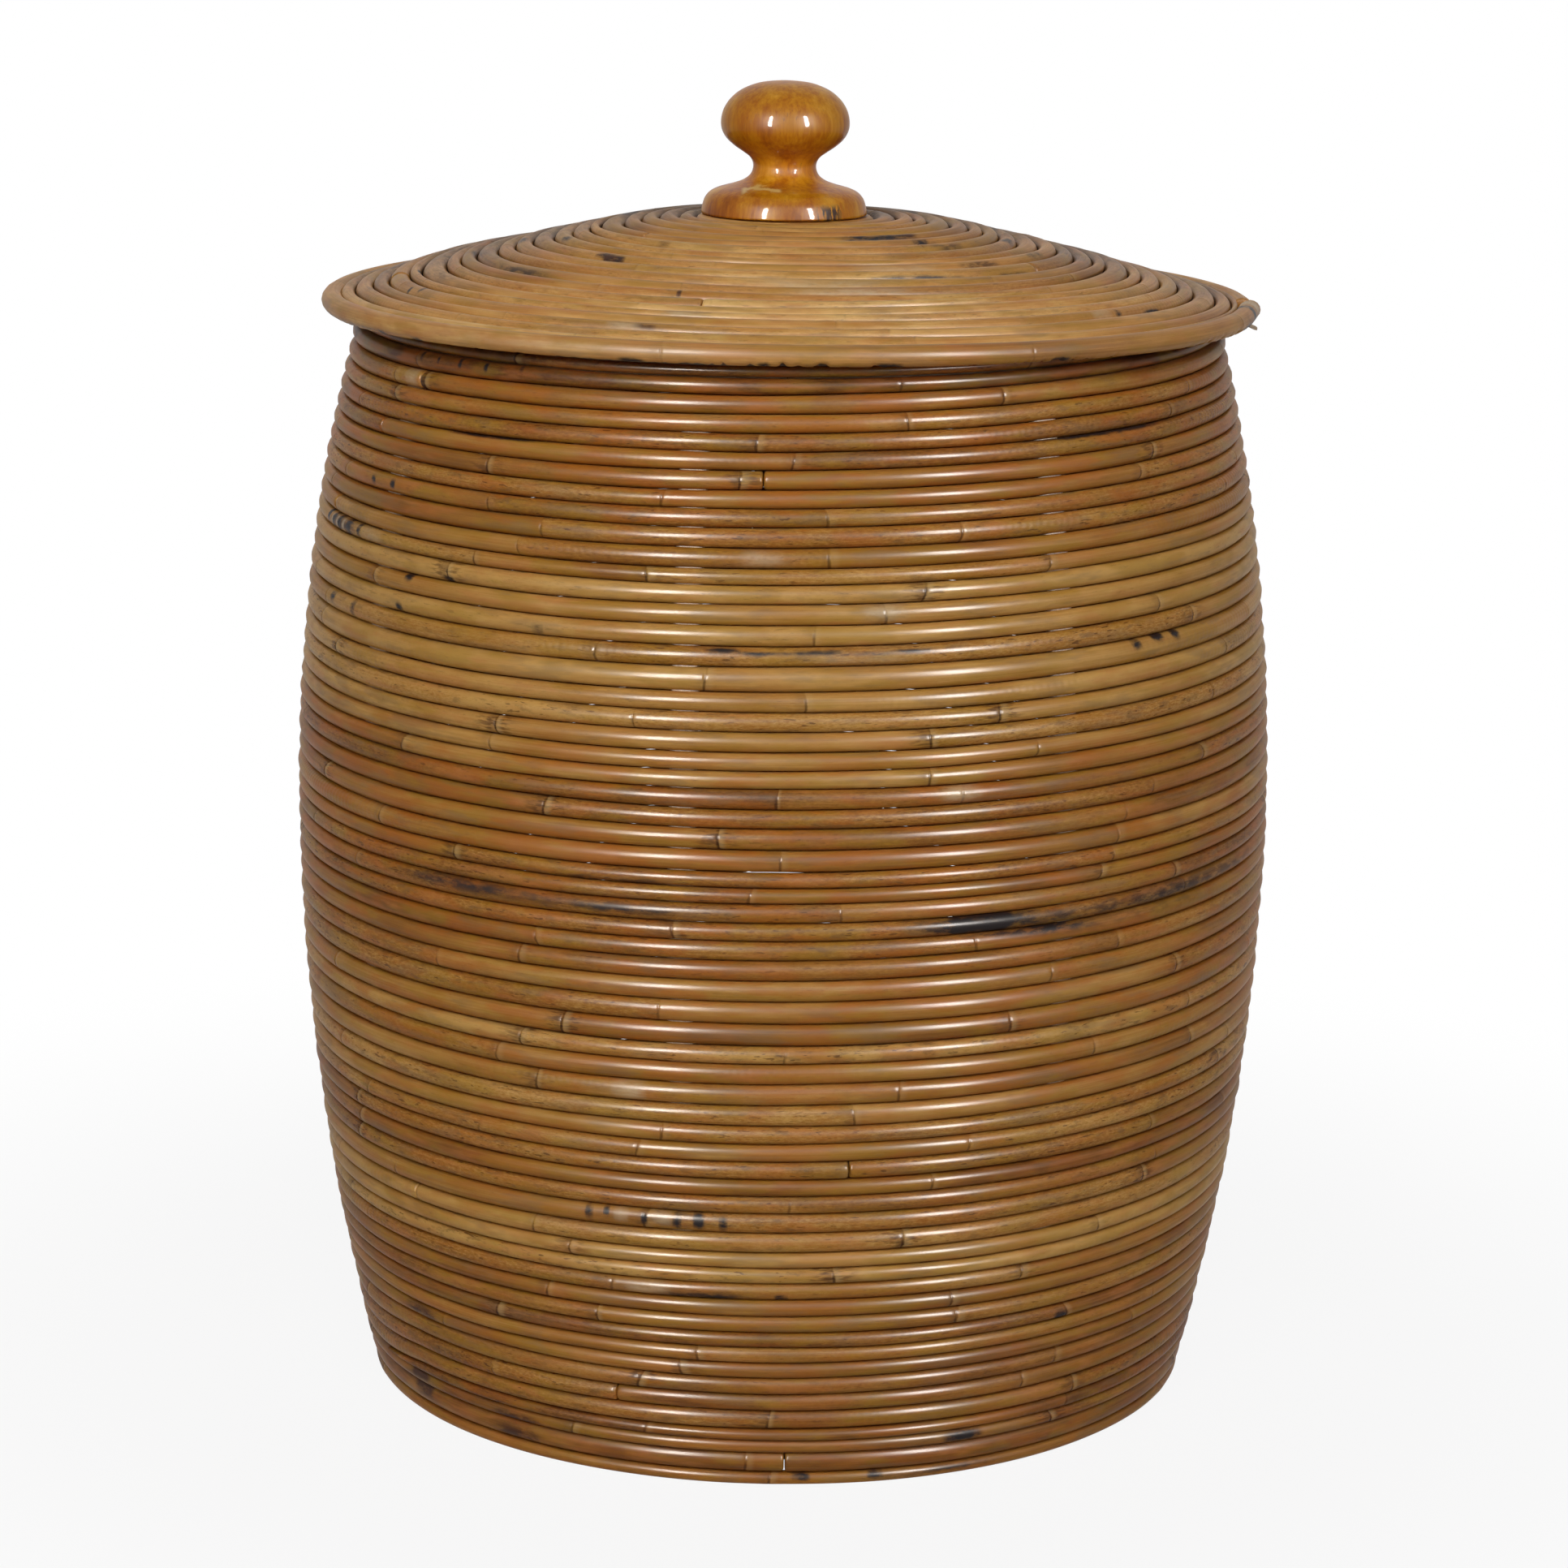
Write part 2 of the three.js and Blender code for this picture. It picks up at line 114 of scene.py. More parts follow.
# %% Values and paints
def screen(red, green, blue):
    """A colour written as on a screen, 0 to 255, turned into the linear values that Blender mixes."""
    share = np.array([red, green, blue]) / 255
    linear = np.where(share <= 0.04045, share / 12.92, ((share + 0.055) / 1.055) ** 2.4)
    return (*linear.tolist(), 1.0)


class Value:
    """A number, vector or colour on its way through a material. Arithmetic on it adds Math nodes."""

    def __init__(self, paint, socket):
        self.paint = paint
        self.socket = socket

    def math(self, operation, *values):
        return self.paint.node("ShaderNodeMath", {"operation": operation}, dict(enumerate(values)))

    def __add__(self, other):
        return self.math("ADD", self, other)

    def __radd__(self, other):
        return self.math("ADD", other, self)

    def __sub__(self, other):
        return self.math("SUBTRACT", self, other)

    def __rsub__(self, other):
        return self.math("SUBTRACT", other, self)

    def __mul__(self, other):
        return self.math("MULTIPLY", self, other)

    def __rmul__(self, other):
        return self.math("MULTIPLY", other, self)

    def __abs__(self):
        return self.math("ABSOLUTE", self)


class Paint:
    """One material. Its parts are added by node() and by the few shorthands that follow."""

    def __init__(self, name):
        self.material = bpy.data.materials.new(name)
        self.material.use_nodes = True
        self.tree = self.material.node_tree
        self.tree.nodes.clear()

    def node(self, kind, settings=None, sockets=None, out=0):
        """Adds a node with its settings, then the values or links of its sockets. Gives one output."""
        node = self.tree.nodes.new(kind)
        for key, setting in (settings or {}).items():
            setattr(node, key, setting)
        for key, value in (sockets or {}).items():
            if isinstance(value, Value):
                self.tree.links.new(value.socket, node.inputs[key])
            else:
                node.inputs[key].default_value = value
        return None if out is None else Value(self, node.outputs[out])

    def attribute(self, name, out="Vector"):
        return self.node("ShaderNodeAttribute", {"attribute_name": name}, out=out)

    def parts(self, vector):
        split = self.node("ShaderNodeSeparateXYZ", sockets={0: vector}).socket.node
        return [Value(self, output) for output in split.outputs]

    def stretch(self, vector, scale):
        return self.node("ShaderNodeVectorMath", {"operation": "MULTIPLY"}, {0: vector, 1: scale})

    def noise(self, vector, scale, detail=2.0, roughness=0.5):
        """Cloudy noise, 0 to 1, with a scale for each axis of the vector."""
        sockets = {"Vector": self.stretch(vector, scale), "Scale": 1.0, "Detail": detail}
        return self.node("ShaderNodeTexNoise", None, {**sockets, "Roughness": roughness})

    def chance(self, number):
        """One random number for each whole number."""
        return self.node("ShaderNodeTexWhiteNoise", {"noise_dimensions": "1D"}, {"W": number})

    def ease(self, value, low, high):
        """0 below low, 1 above high, and smooth between."""
        return self.node("ShaderNodeMapRange", {"interpolation_type": "SMOOTHSTEP"},
                         {0: value, 1: low, 2: high})

    def shades(self, value, stops):
        """A colour ramp. Each stop is a place, then red, green and blue, 0 to 255."""
        ramp = self.node("ShaderNodeValToRGB", sockets={0: value})
        elements = ramp.socket.node.color_ramp.elements
        elements.remove(elements[1])
        elements[0].position = stops[0][0]
        elements[0].color = screen(*stops[0][1:])
        for place, *shade in stops[1:]:
            elements.new(place).color = screen(*shade)
        return ramp

    def layers(self, colour, covers):
        """Lays colours over one another. Each cover is its share, then red, green and blue, 0 to 255."""
        for share, *shade in covers:
            sockets = {0: share, 6: colour, 7: screen(*shade)}
            colour = self.node("ShaderNodeMix", {"data_type": "RGBA"}, sockets, out=2)
        return colour

    def bump(self, height, strength=1.0):
        """A normal from a height in millimetres."""
        return self.node("ShaderNodeBump", None, {"Strength": strength, "Distance": 0.001, "Height": height})

    def finish(self, **sockets):
        """The surface itself. Each name is a socket of the Principled node, written with underscores."""
        named = {key.replace("_", " "): value for key, value in sockets.items()}
        surface = self.node("ShaderNodeBsdfPrincipled", None, named)
        self.node("ShaderNodeOutputMaterial", None, {"Surface": surface}, out=None)
        return self.material


print("A mid grey is", round(screen(128, 128, 128)[0], 3))

# %% [markdown]
# The floor and the room are white to the camera and to anything shiny, and a soft grey to the rest, so that
# the picture stays white without more light on the basket. Near the basket the floor keeps a little of its
# own shading, and with it the faint shadow beside the foot.

# %% The room and the floor
world = bpy.data.worlds.new("room")
world.use_nodes = True
scene.world = world
room = world.node_tree
room.nodes.clear()


def seen_directly(tree):
    """A socket that is 1 for rays from the camera, from gloss and from glass, and 0 for the rest."""
    path = tree.nodes.new("ShaderNodeLightPath")
    total = path.outputs["Is Camera Ray"]
    for kind in ("Is Glossy Ray", "Is Transmission Ray"):
        larger = tree.nodes.new("ShaderNodeMath")
        larger.operation = "MAXIMUM"
        tree.links.new(total, larger.inputs[0])
        tree.links.new(path.outputs[kind], larger.inputs[1])
        total = larger.outputs[0]
    return total


def room_light(colour, strength):
    light = room.nodes.new("ShaderNodeBackground")
    light.inputs["Color"].default_value = colour
    light.inputs["Strength"].default_value = strength
    return light


choice = room.nodes.new("ShaderNodeMixShader")
room.links.new(seen_directly(room), choice.inputs[0])
room.links.new(room_light((0.97, 0.98, 1, 1), 0.06).outputs[0], choice.inputs[1])
room.links.new(room_light((1, 1, 1, 1), 1.0).outputs[0], choice.inputs[2])
room_output = room.nodes.new("ShaderNodeOutputWorld")
room.links.new(choice.outputs[0], room_output.inputs["Surface"])

floor_mesh = bpy.data.meshes.new("floor")
half = 6.0
floor_mesh.from_pydata([(-half, -half, 0), (half, -half, 0), (half, half, 0), (-half, half, 0)],
                       [], [(0, 1, 2, 3)])
floor = bpy.data.objects.new("floor", floor_mesh)
scene.collection.objects.link(floor)

floor_paint = Paint("floor")
glow = floor_paint.node("ShaderNodeEmission", None, {"Color": (1, 1, 1, 1), "Strength": 1.0})
matt = floor_paint.node("ShaderNodeBsdfDiffuse", None, {"Color": (0.62, 0.62, 0.62, 1)})
direct = Value(floor_paint, seen_directly(floor_paint.tree))
place = floor_paint.node("ShaderNodeTexCoord", out=3)
distance = floor_paint.node("ShaderNodeVectorMath", {"operation": "LENGTH"}, {0: place}, out=1)
share = direct * (floor_paint.ease(distance, 0.25, 0.75) * 0.1 + 0.9)
surface = floor_paint.node("ShaderNodeMixShader", None, {0: share, 1: matt, 2: glow})
floor_paint.node("ShaderNodeOutputMaterial", None, {"Surface": surface}, out=None)
floor_mesh.materials.append(floor_paint.material)
print("Room and floor are white to the camera")

# %% [markdown]
# A line in the upright half-plane through the axis, as radius and height, tells where the middles of the
# canes lie. The wall's line is a parabola from the belly down to the foot and another up to the mouth; the
# lid's is level under the knob and then slopes to the rim. Lengths along it count the rows. From here to the
# end all lengths are in millimetres, and become metres where a mesh is made.

# %% Lines that the rows follow
# How far the outside of the wall lies from the line through its rows.
REACH = 4.26
BELLY_RADIUS, BELLY_HEIGHT, WALL_HEIGHT = 220, 270, 488
FOOT_PINCH, MOUTH_PINCH = 34, 28.5
LID_TOP, LID_SLOPE = 523.67, 0.245
BEND_FROM, BEND_TO = 40, 80


class Line:
    """A line through the middles of the rows. at(length) gives its radius, height and heading there."""

    def __init__(self, radius, height, facing):
        self.radius, self.height, self.facing = radius, height, facing
        steps = np.hypot(np.diff(radius), np.diff(height))
        self.length = np.concatenate([[0], np.cumsum(steps)])
        self.along_radius = np.gradient(radius, self.length)
        self.along_height = np.gradient(height, self.length)

    def at(self, length):
        values = (self.radius, self.height, self.along_radius, self.along_height)
        return [np.interp(length, self.length, value) for value in values]


def wall_radius(height):
    """Outer radius: belly less a pinch times the square of the distance above or below the belly."""
    below = BELLY_RADIUS - FOOT_PINCH * ((BELLY_HEIGHT - height) / BELLY_HEIGHT) ** 2
    above = BELLY_RADIUS - MOUTH_PINCH * ((height - BELLY_HEIGHT) / (WALL_HEIGHT - BELLY_HEIGHT)) ** 2
    return np.where(height < BELLY_HEIGHT, below, above)


def lid_middle(radius):
    """Height of the middles of the lid's canes: level, then a short bend, then an even slope.

    Halfway out the lid is a little fuller, by about two millimetres times a sine.
    """
    bend = LID_SLOPE * (np.clip(radius, BEND_FROM, BEND_TO) - BEND_FROM) ** 2 / (2 * (BEND_TO - BEND_FROM))
    fuller = 1.9 * np.sin(np.pi * np.clip(radius - BEND_FROM, 0, 160) / 160)
    return LID_TOP - bend - LID_SLOPE * np.maximum(radius - BEND_TO, 0) + fuller


wall_heights = np.linspace(0, WALL_HEIGHT, 977)
lid_radii = np.linspace(0, 199.1, 600)
base_radii = np.linspace(0, 180.6, 300)
wall_line = Line(wall_radius(wall_heights) - REACH, wall_heights, 1)
lid_line = Line(lid_radii, lid_middle(lid_radii), -1)
base_line = Line(base_radii, np.full(300, 10.75), -1)
for line_name, line in (("wall", wall_line), ("lid", lid_line), ("base", base_line)):
    print("The line of the", line_name, "is", round(line.length[-1], 1), "mm long")

# %% [markdown]
# A hand-coiled wall isn't perfect. Rows differ in thickness, they climb on the side that nobody looks at,
# and each boundary wavers a little. A table of row heights, a tilt and a slow random line give that.
# The line is random numbers on a ruler, joined by an ease curve, so it is the same on every run.
# A place along a coil is counted in turns from where it starts, which is at the back.

# %% Where each row lies
START = math.radians(112.5)


def wander(place, spacing, seed):
    """A smooth random line from -1 to 1: one number every spacing, joined by an ease curve."""
    values = np.random.default_rng(seed).uniform(-1, 1, 1024)
    cell = np.floor(place / spacing).astype(int)
    share = place / spacing - cell
    ease = share * share * (3 - 2 * share)
    return values[cell % 1024] * (1 - ease) + values[(cell + 1) % 1024] * ease


# Turns of the coil and the height of its upper edge there, then heights and how far the rows tilt there.
ROW_EDGES = np.array([
    (0.25, 22.9), (0.285, 27.6), (0.44, 28.5), (1.25, 32.6), (1.285, 36.4), (1.44, 37.2), (2.25, 42.1),
    (2.285, 44.9), (2.44, 45.9), (3.25, 51.6), (3.285, 53.6), (3.44, 54.4), (6.44, 76), (9.44, 99.9),
    (11.44, 114.3), (13.44, 132.6), (18.44, 172.7), (21.44, 200.5), (22.44, 208), (24.44, 228), (26.44, 246),
    (29.44, 270), (31.44, 283.5), (33.44, 302), (35.44, 318.5), (37.44, 334), (40.44, 359), (41.44, 369.5),
    (45.44, 403.5), (46.44, 410), (48.44, 427), (51.44, 450), (53.44, 465.7), (54.44, 473), (55.44, 481.5),
    (56.2, 488.3),
])
ROW_TILT = np.array([
    (0, 0), (60, 0), (99, 0.5), (122, 1.2), (147, 0.2), (172, 0.7), (200, 0.3), (228, 0.6), (254, 1.1),
    (292, 0.4), (310, 0.2), (334, 1.1), (386, 1.4), (410, 1.5), (435, 1.3), (460, 0.6), (490, 0),
])
WALL_FROM, WALL_TO, MOUTH_TOP = 22.9, 488.3, 493.1
COIL_END = 56.75


def wall_edge(turn):
    """Upper edge of the coil: the table, a tilt with the cosine of the azimuth, and a wavering."""
    edge = np.interp(turn, *ROW_EDGES.T)
    tilt = np.interp(edge, *ROW_TILT.T) * np.cos(START + 2 * np.pi * turn)
    waver = 0.3 * wander(turn, 0.11, 1) + 0.2 * wander(turn, 0.037, 2)
    free = np.clip(np.minimum(edge - WALL_FROM, WALL_TO - edge) / 6, 0, 1)
    return np.clip(edge + (tilt + waver) * free, WALL_FROM, WALL_TO)


def wall_rows(turn):
    return wall_edge(turn - 1), wall_edge(turn)


def mouth_rows(turn):
    """Rows of the mouth hoop: it fills what the coil leaves, also past the coil's end."""
    below = np.where(turn - 1 > COIL_END, wall_edge(turn - 2), wall_edge(turn - 1))
    return below, np.full(np.shape(turn), MOUTH_TOP)


def even_rows(start, end, rows, seed):
    """Rows of a flat coil: even, with a slow wavering, and pared to a wedge at its start and its end."""
    pitch = (end - start) / rows

    def edge(turn):
        waver = 0.3 * wander(turn, 0.17, seed) * np.clip(np.minimum(turn, rows - turn), 0, 1)
        return np.clip(start + (turn + waver) * pitch, start, end)

    return lambda turn: (edge(turn - 1), edge(turn))


lid_rows = even_rows(8, lid_line.length[-1], 24, 11)
base_rows = even_rows(8, base_line.length[-1], 21, 12)
print("Row 30 of the coil is", round(float(np.subtract(*wall_rows(30.0)[::-1])), 2), "mm thick")

# %% [markdown]
# The mouth in the photograph isn't quite level, and the lid sits on it with its front up. One function
# moves every new point in this way, so nothing drifts apart.

# %% Tilt of the mouth and seat of the lid
LEAN_FROM, MOUTH_HEIGHT = 400, 490
MOUTH_TILT = 0.009
LID_TILT = (-0.0035, -0.0165)
LID_RAISE = 1.1
RIM_RADIUS = 208


def settle(points, lid):
    """Places at rest: lid points turn a little about the mouth's middle, wall points rise near the mouth.

    The lid's sides also hang a little, with the square of the distance, and its left has a dent upwards, a
    bell over the azimuth and the radius.
    """
    x, y, z = points.T
    if lid:
        above = z - MOUTH_HEIGHT
        dent = np.exp(-(((np.arctan2(y, x) - 2.6) / 0.35) ** 2) - ((np.hypot(x, y) - 165) / 24) ** 2)
        z = z + LID_TILT[0] * x + LID_TILT[1] * y + LID_RAISE - (x / RIM_RADIUS) ** 2 + 2 * dent
        x = x - LID_TILT[0] * above
        y = y - LID_TILT[1] * above
    else:
        share = np.clip((z - LEAN_FROM) / (MOUTH_HEIGHT - LEAN_FROM), 0, 1)
        z = z + MOUTH_TILT * x * share * share * (3 - 2 * share)
    return np.stack([x, y, z], axis=1)


print("The lid's front edge is", round(-LID_TILT[1] * RIM_RADIUS, 1), "mm above level")

# %% [markdown]
# Every cane is one closed tube. numpy works out all its points at once as a grid of rings and corners, and
# foreach_set hands the arrays to the mesh, which is many times faster than adding points one by one.

# %% From arrays to a piece of the basket
def corner_order(rings, sides):
    """Four-sided faces between neighbouring rings, as a list of corners of the grid."""
    ring = np.arange(rings - 1)[:, None] * sides
    side = np.arange(sides)[None, :]
    after = (side + 1) % sides
    return np.stack([ring + side, ring + after, ring + sides + after, ring + sides + side], 2).reshape(-1, 4)


def tube_faces(rings, sides):
    """Faces of a closed tube whose last two points are the middles of its two ends."""
    side = np.arange(sides)
    after = (side + 1) % sides
    last = (rings - 1) * sides
    first_cap = np.stack([np.full(sides, rings * sides), after, side], 1)
    last_cap = np.stack([np.full(sides, rings * sides + 1), last + side, last + after], 1)
    return corner_order(rings, sides), np.concatenate([first_cap, last_cap])


def make_piece(name, points, quads, triangles, paint, lid, node, attributes=None):
    """Makes a mesh from arrays in millimetres, faces outwards, and lets it stand for a solid."""
    a, b, c, d = (points[quads[:, corner]] for corner in range(4))
    volume = np.einsum("ij,ij->", a, np.cross(b, c) + np.cross(c, d))
    if len(triangles):
        e, f, g = (points[triangles[:, corner]] for corner in range(3))
        volume += np.einsum("ij,ij->", e, np.cross(f, g))
    if volume < 0:
        quads, triangles = quads[:, ::-1], triangles[:, ::-1]
    corners = np.concatenate([quads.ravel(), triangles.ravel()]).astype(np.int32)
    starts = np.concatenate([np.arange(len(quads)) * 4, len(quads) * 4 + np.arange(len(triangles)) * 3])
    mesh = bpy.data.meshes.new(name)
    mesh.vertices.add(len(points))
    mesh.vertices.foreach_set("co", (settle(points, lid) * 0.001).astype(np.float32).ravel())
    mesh.loops.add(len(corners))
    mesh.loops.foreach_set("vertex_index", corners)
    mesh.polygons.add(len(starts))
    mesh.polygons.foreach_set("loop_start", starts.astype(np.int32))
    for key, values in (attributes or {}).items():
        attribute = mesh.attributes.new(key, "FLOAT_VECTOR", "POINT")
        attribute.data.foreach_set("vector", values.astype(np.float32).ravel())
    mesh.update(calc_edges=True)
    mesh.validate()
    mesh.shade_smooth()
    mesh.materials.append(paint)
    piece = bpy.data.objects.new(name, mesh)
    scene.collection.objects.link(piece)
    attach(piece, "lid" if lid else "basket")
    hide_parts(node)
    return piece


print("A tube of 10 rings and 16 sides has", len(tube_faces(10, 16)[0]), "four-sided faces")

# %% [markdown]
# Cane has a thin glassy skin. It varies slowly along its length from golden to brown, carries fine
# lengthwise fibres, small flecks and tan blotches, and every hand's width or two a ring where a leaf grew:
# a dark line with a paler band beside it. Two layers of gloss give the look of the lacquer: a clear coat
# for the streak of a lamp, and a rougher skin under it for the soft glow round the streak.
# The pattern runs along the cane, so it reads a place that is stored on the mesh as if the cane were
# straight, and not the place in the room.

# %% Paint for cane
def cane_paint(name, shades, gloss, skin, sheen, groove_shade, shade_colour, patchy, knots):
    """Paint for a cane. Its shades run from dark to light.

    gloss is the share of clear coat, skin the coat's roughness, sheen how much the cane itself shines, the
    next two the strength and the colour of the painted shade where it meets the next row, patchy how far its
    stretches differ, and knots how strongly its rings show.
    """
    paint = Paint(name)
    ease = paint.ease
    place = paint.attribute("place")
    along, _, upward = paint.parts(place)
    phase, spacing, ripple = paint.parts(paint.attribute("rings"))
    # edge carries the painted shade where the cane meets the next row.
    tone, warmth, edge = paint.parts(paint.attribute("tone"))
    burn, stain, pale = paint.parts(paint.attribute("marks"))

    streak = paint.noise(place, (0.011, 1.2, 1.2), 3, 0.6)
    blotch = paint.noise(place, (0.02, 0.09, 0.09))
    olive = paint.noise(place, (0.035, 0.12, 0.12))
    russet = paint.noise(place, (0.045, 0.17, 0.17))
    mottle = paint.noise(place, (0.1, 0.3, 0.3), 4, 0.65)
    grain = paint.noise(place, (0.4, 1.3, 1.3), 2, 0.7)
    fleck = paint.noise(place, (0.16, 0.9, 0.9), 2, 0.6)
    ashen = paint.noise(place, (0.028, 0.14, 0.14), 3, 0.6)
    ring = phase.math("ROUND", phase)
    stretch = phase.math("FLOOR", phase) + 0.5
    apart = (phase - ring) * spacing + (mottle - 0.5) * 0.8
    strong = paint.chance(ring) * knots
    weathered = ease(paint.chance(stretch + 31), 0.35, 0.9) * (0.1 + 0.9 * knots)

    # The cane itself, from its ramp of shades to the flecks.
    light = tone + (streak - 0.5) * 0.5 + (blotch - 0.5) * 0.75 + (paint.chance(stretch) - 0.5) * patchy
    light = light + (grain - 0.5) * (weathered * 0.9 + 0.1)
    # Painted shade and a painted grey sheen where the warmth is below nought: on the lid's back, and a little
    # at its sides.
    grey_sheen_and_shade = ease(warmth * -1, 0, 1.2)
    colour = paint.layers(paint.shades(light, shades), [
        (ease(olive, 0.46, 0.64) * 0.45, 166, 124, 28),
        (ease(russet, 0.41, 0.66) * ease(warmth, 0, 1) * 0.55, 178, 96, 26),
        (ease(ashen, 0.53, 0.68) * 0.36, 134, 104, 70),
        ((1 - ease(ashen, 0.3, 0.46)) * 0.4, 194, 122, 62),
        (grey_sheen_and_shade * 0.6, 112, 94, 74),
        (grey_sheen_and_shade * ease(mottle, 0.42, 0.58) * 0.8, 62, 46, 36),
        (ease(mottle, 0.52, 0.68) * weathered * 0.6, 120, 84, 42),
        (ease(fleck, 0.62, 0.7) * (weathered * 0.6 + 0.1), 80, 38, 6),
    ])

    # Its rings, the single marks, and the painted shade where it meets the next row.
    line = (1 - ease(abs(apart), 0.2, 0.9)) * (ease(upward * -1, -3, 1.5) * 0.5 * knots + strong * 0.5)
    band = ease(apart, 0.3, 1.1) * (1 - ease(apart, 1.6, 4.5)) * strong
    dusk = ease(apart * -1, 0.2, 1) * (1 - ease(apart * -1, 1.5, 6)) * strong
    near = (1 - ease(abs(apart), 2, 13)) * ease(fleck, 0.45, 0.6) * ease(strong, 0.4, 1)
    rough = ease(mottle, 0.35, 0.6)
    colour = paint.layers(colour, [
        (near * 0.75, 84, 46, 18),
        (dusk * 0.45, 112, 76, 38),
        (band * 0.4, 206, 172, 112),
        (line * 0.85, 48, 24, 8),
        (ease(stain * (rough * 0.6 + 0.7), 0.1, 0.9), 74, 40, 16),
        (pale * (rough * 0.5 + 0.5), 212, 186, 148),
        (ease(burn * (rough * 0.6 + 0.8), 0.1, 0.95), 36, 28, 28),
        (edge * groove_shade, *shade_colour),
    ])

    beads = along.math("SINE", along * 1.85 + (mottle - 0.5) * 5)
    height = streak * 0.12 + mottle * 0.1 + beads * ripple * 0.09 - line * 0.3 + band * 0.12
    return paint.finish(
        Base_Color=colour,
        Roughness=0.4 + mottle * 0.2,
        IOR=1.4,
        Specular_IOR_Level=sheen,
        Coat_Weight=gloss - (burn + near + line + edge * 1.6) * gloss * 0.4,
        Coat_Roughness=skin,
        Coat_IOR=1.5,
        Normal=paint.bump(height, 0.5),
    )


wall_shades = [(0, 92, 50, 12), (0.3, 136, 84, 26), (0.6, 172, 116, 44), (1, 204, 156, 82)]
lid_shades = [(0, 104, 66, 28), (0.35, 168, 114, 54), (0.65, 206, 150, 78), (1, 232, 188, 116)]
wall_paint = cane_paint("lacquered_wall_cane", wall_shades, gloss=0.15, skin=0.26, sheen=0.06,
                        groove_shade=0.55, shade_colour=(78, 38, 4), patchy=0.3, knots=1)
lid_paint = cane_paint("satin_lid_cane", lid_shades, gloss=0.08, skin=0.3, sheen=0.12,
                       groove_shade=0.92, shade_colour=(62, 42, 24), patchy=0.1, knots=0.3)
print("Two paints for cane")

# %% [markdown]
# Split cane shows its inside: pale, matt and stringy, with dark pores drawn out along the strip.

# %% Paint for split cane
def split_paint():
    paint = Paint("split_cane")
    place = paint.attribute("place")
    fibre = paint.noise(place, (0.02, 1.6, 1.6), 4, 0.65)
    pore = paint.ease(paint.noise(place, (0.09, 2.4, 2.4)), 0.6, 0.7)
    cloud = paint.noise(place, (0.03, 0.1, 0.1))
    wood = [(0.3, 124, 90, 52), (0.5, 168, 132, 86), (0.7, 202, 170, 120)]
    return paint.finish(
        Base_Color=paint.layers(paint.shades(fibre * 0.6 + cloud * 0.4, wood), [(pore * 0.5, 84, 56, 30)]),
        Roughness=0.55 + cloud * 0.2,
        IOR=1.5,
        Normal=paint.bump(fibre * 0.3 - pore * 0.2, 0.8),
    )


split_cane = split_paint()
print("Split cane is paint number", len(bpy.data.materials))

# %% [markdown]
# The knob is turned from one block with its grain upright. Fibres run up its sides, and the growth layers
# show as broad amber bands. The block's own Object coordinates carry both, drawn out along the height, in
# metres. Two marks that the photograph shows are placed on it too: a dark streak low on the foot, and a pale
# chip above it on the left.

# %% Paints for the knob and its screw
def knob_paint():
    paint = Paint("lacquered_knob_wood")
    place = paint.node("ShaderNodeTexCoord", out=3)
    layer = paint.noise(place, (60, 60, 9), 3, 0.55)
    fibre = paint.noise(place, (500, 500, 25), 3, 0.6)
    dark = paint.ease(paint.noise(place, (1100, 1100, 90)), 0.62, 0.74)
    cloud = paint.noise(place, (45, 45, 35))
    across, ahead, up = paint.parts(place)
    front = paint.ease(ahead * -1, 0.01, 0.02)
    right = paint.ease(across, 0.0105, 0.0135) * (1 - paint.ease(across, 0.02, 0.025))
    low = (1 - paint.ease(up, 0.534, 0.5375)) * paint.ease(fibre, 0.44, 0.52)
    left = paint.ease(across, -0.022, -0.02) * (1 - paint.ease(across, -0.005, -0.003))
    chip = 1 - paint.ease(abs(up - 0.5418 - (cloud - 0.5) * 0.014 - (fibre - 0.5) * 0.002), 0.0003, 0.0012)
    amber = [(0.28, 134, 64, 0), (0.44, 180, 104, 0), (0.56, 202, 132, 8), (0.72, 222, 162, 44)]
    colour = paint.layers(paint.shades(layer * 0.6 + fibre * 0.4 + (cloud - 0.5) * 0.5, amber), [
        (dark * 0.3, 104, 56, 6),
        (front * right * low, 60, 28, 4),
        (front * chip * left * 0.8, 226, 196, 120),
    ])
    return paint.finish(
        Base_Color=colour,
        Roughness=0.35 + fibre * 0.15,
        Coat_Weight=0.17,
        Coat_Roughness=0.07,
        Coat_IOR=1.5,
        IOR=1.4,
        Specular_IOR_Level=0.1,
        Normal=paint.bump(fibre * 0.1 - dark * 0.1, 0.5),
    )


def steel_paint():
    paint = Paint("zinc_plated_steel")
    place = paint.node("ShaderNodeTexCoord", out=3)
    brushed = paint.noise(place, (400, 400, 2500))
    return paint.finish(
        Base_Color=paint.shades(brushed, [(0.3, 132, 134, 138), (0.7, 176, 178, 182)]),
        Metallic=1.0,
        Roughness=0.3 + brushed * 0.2,
        Normal=paint.bump(brushed * 0.02, 0.5),
    )


knob_wood = knob_paint()
steel = steel_paint()
print("Paints:", len(bpy.data.materials))
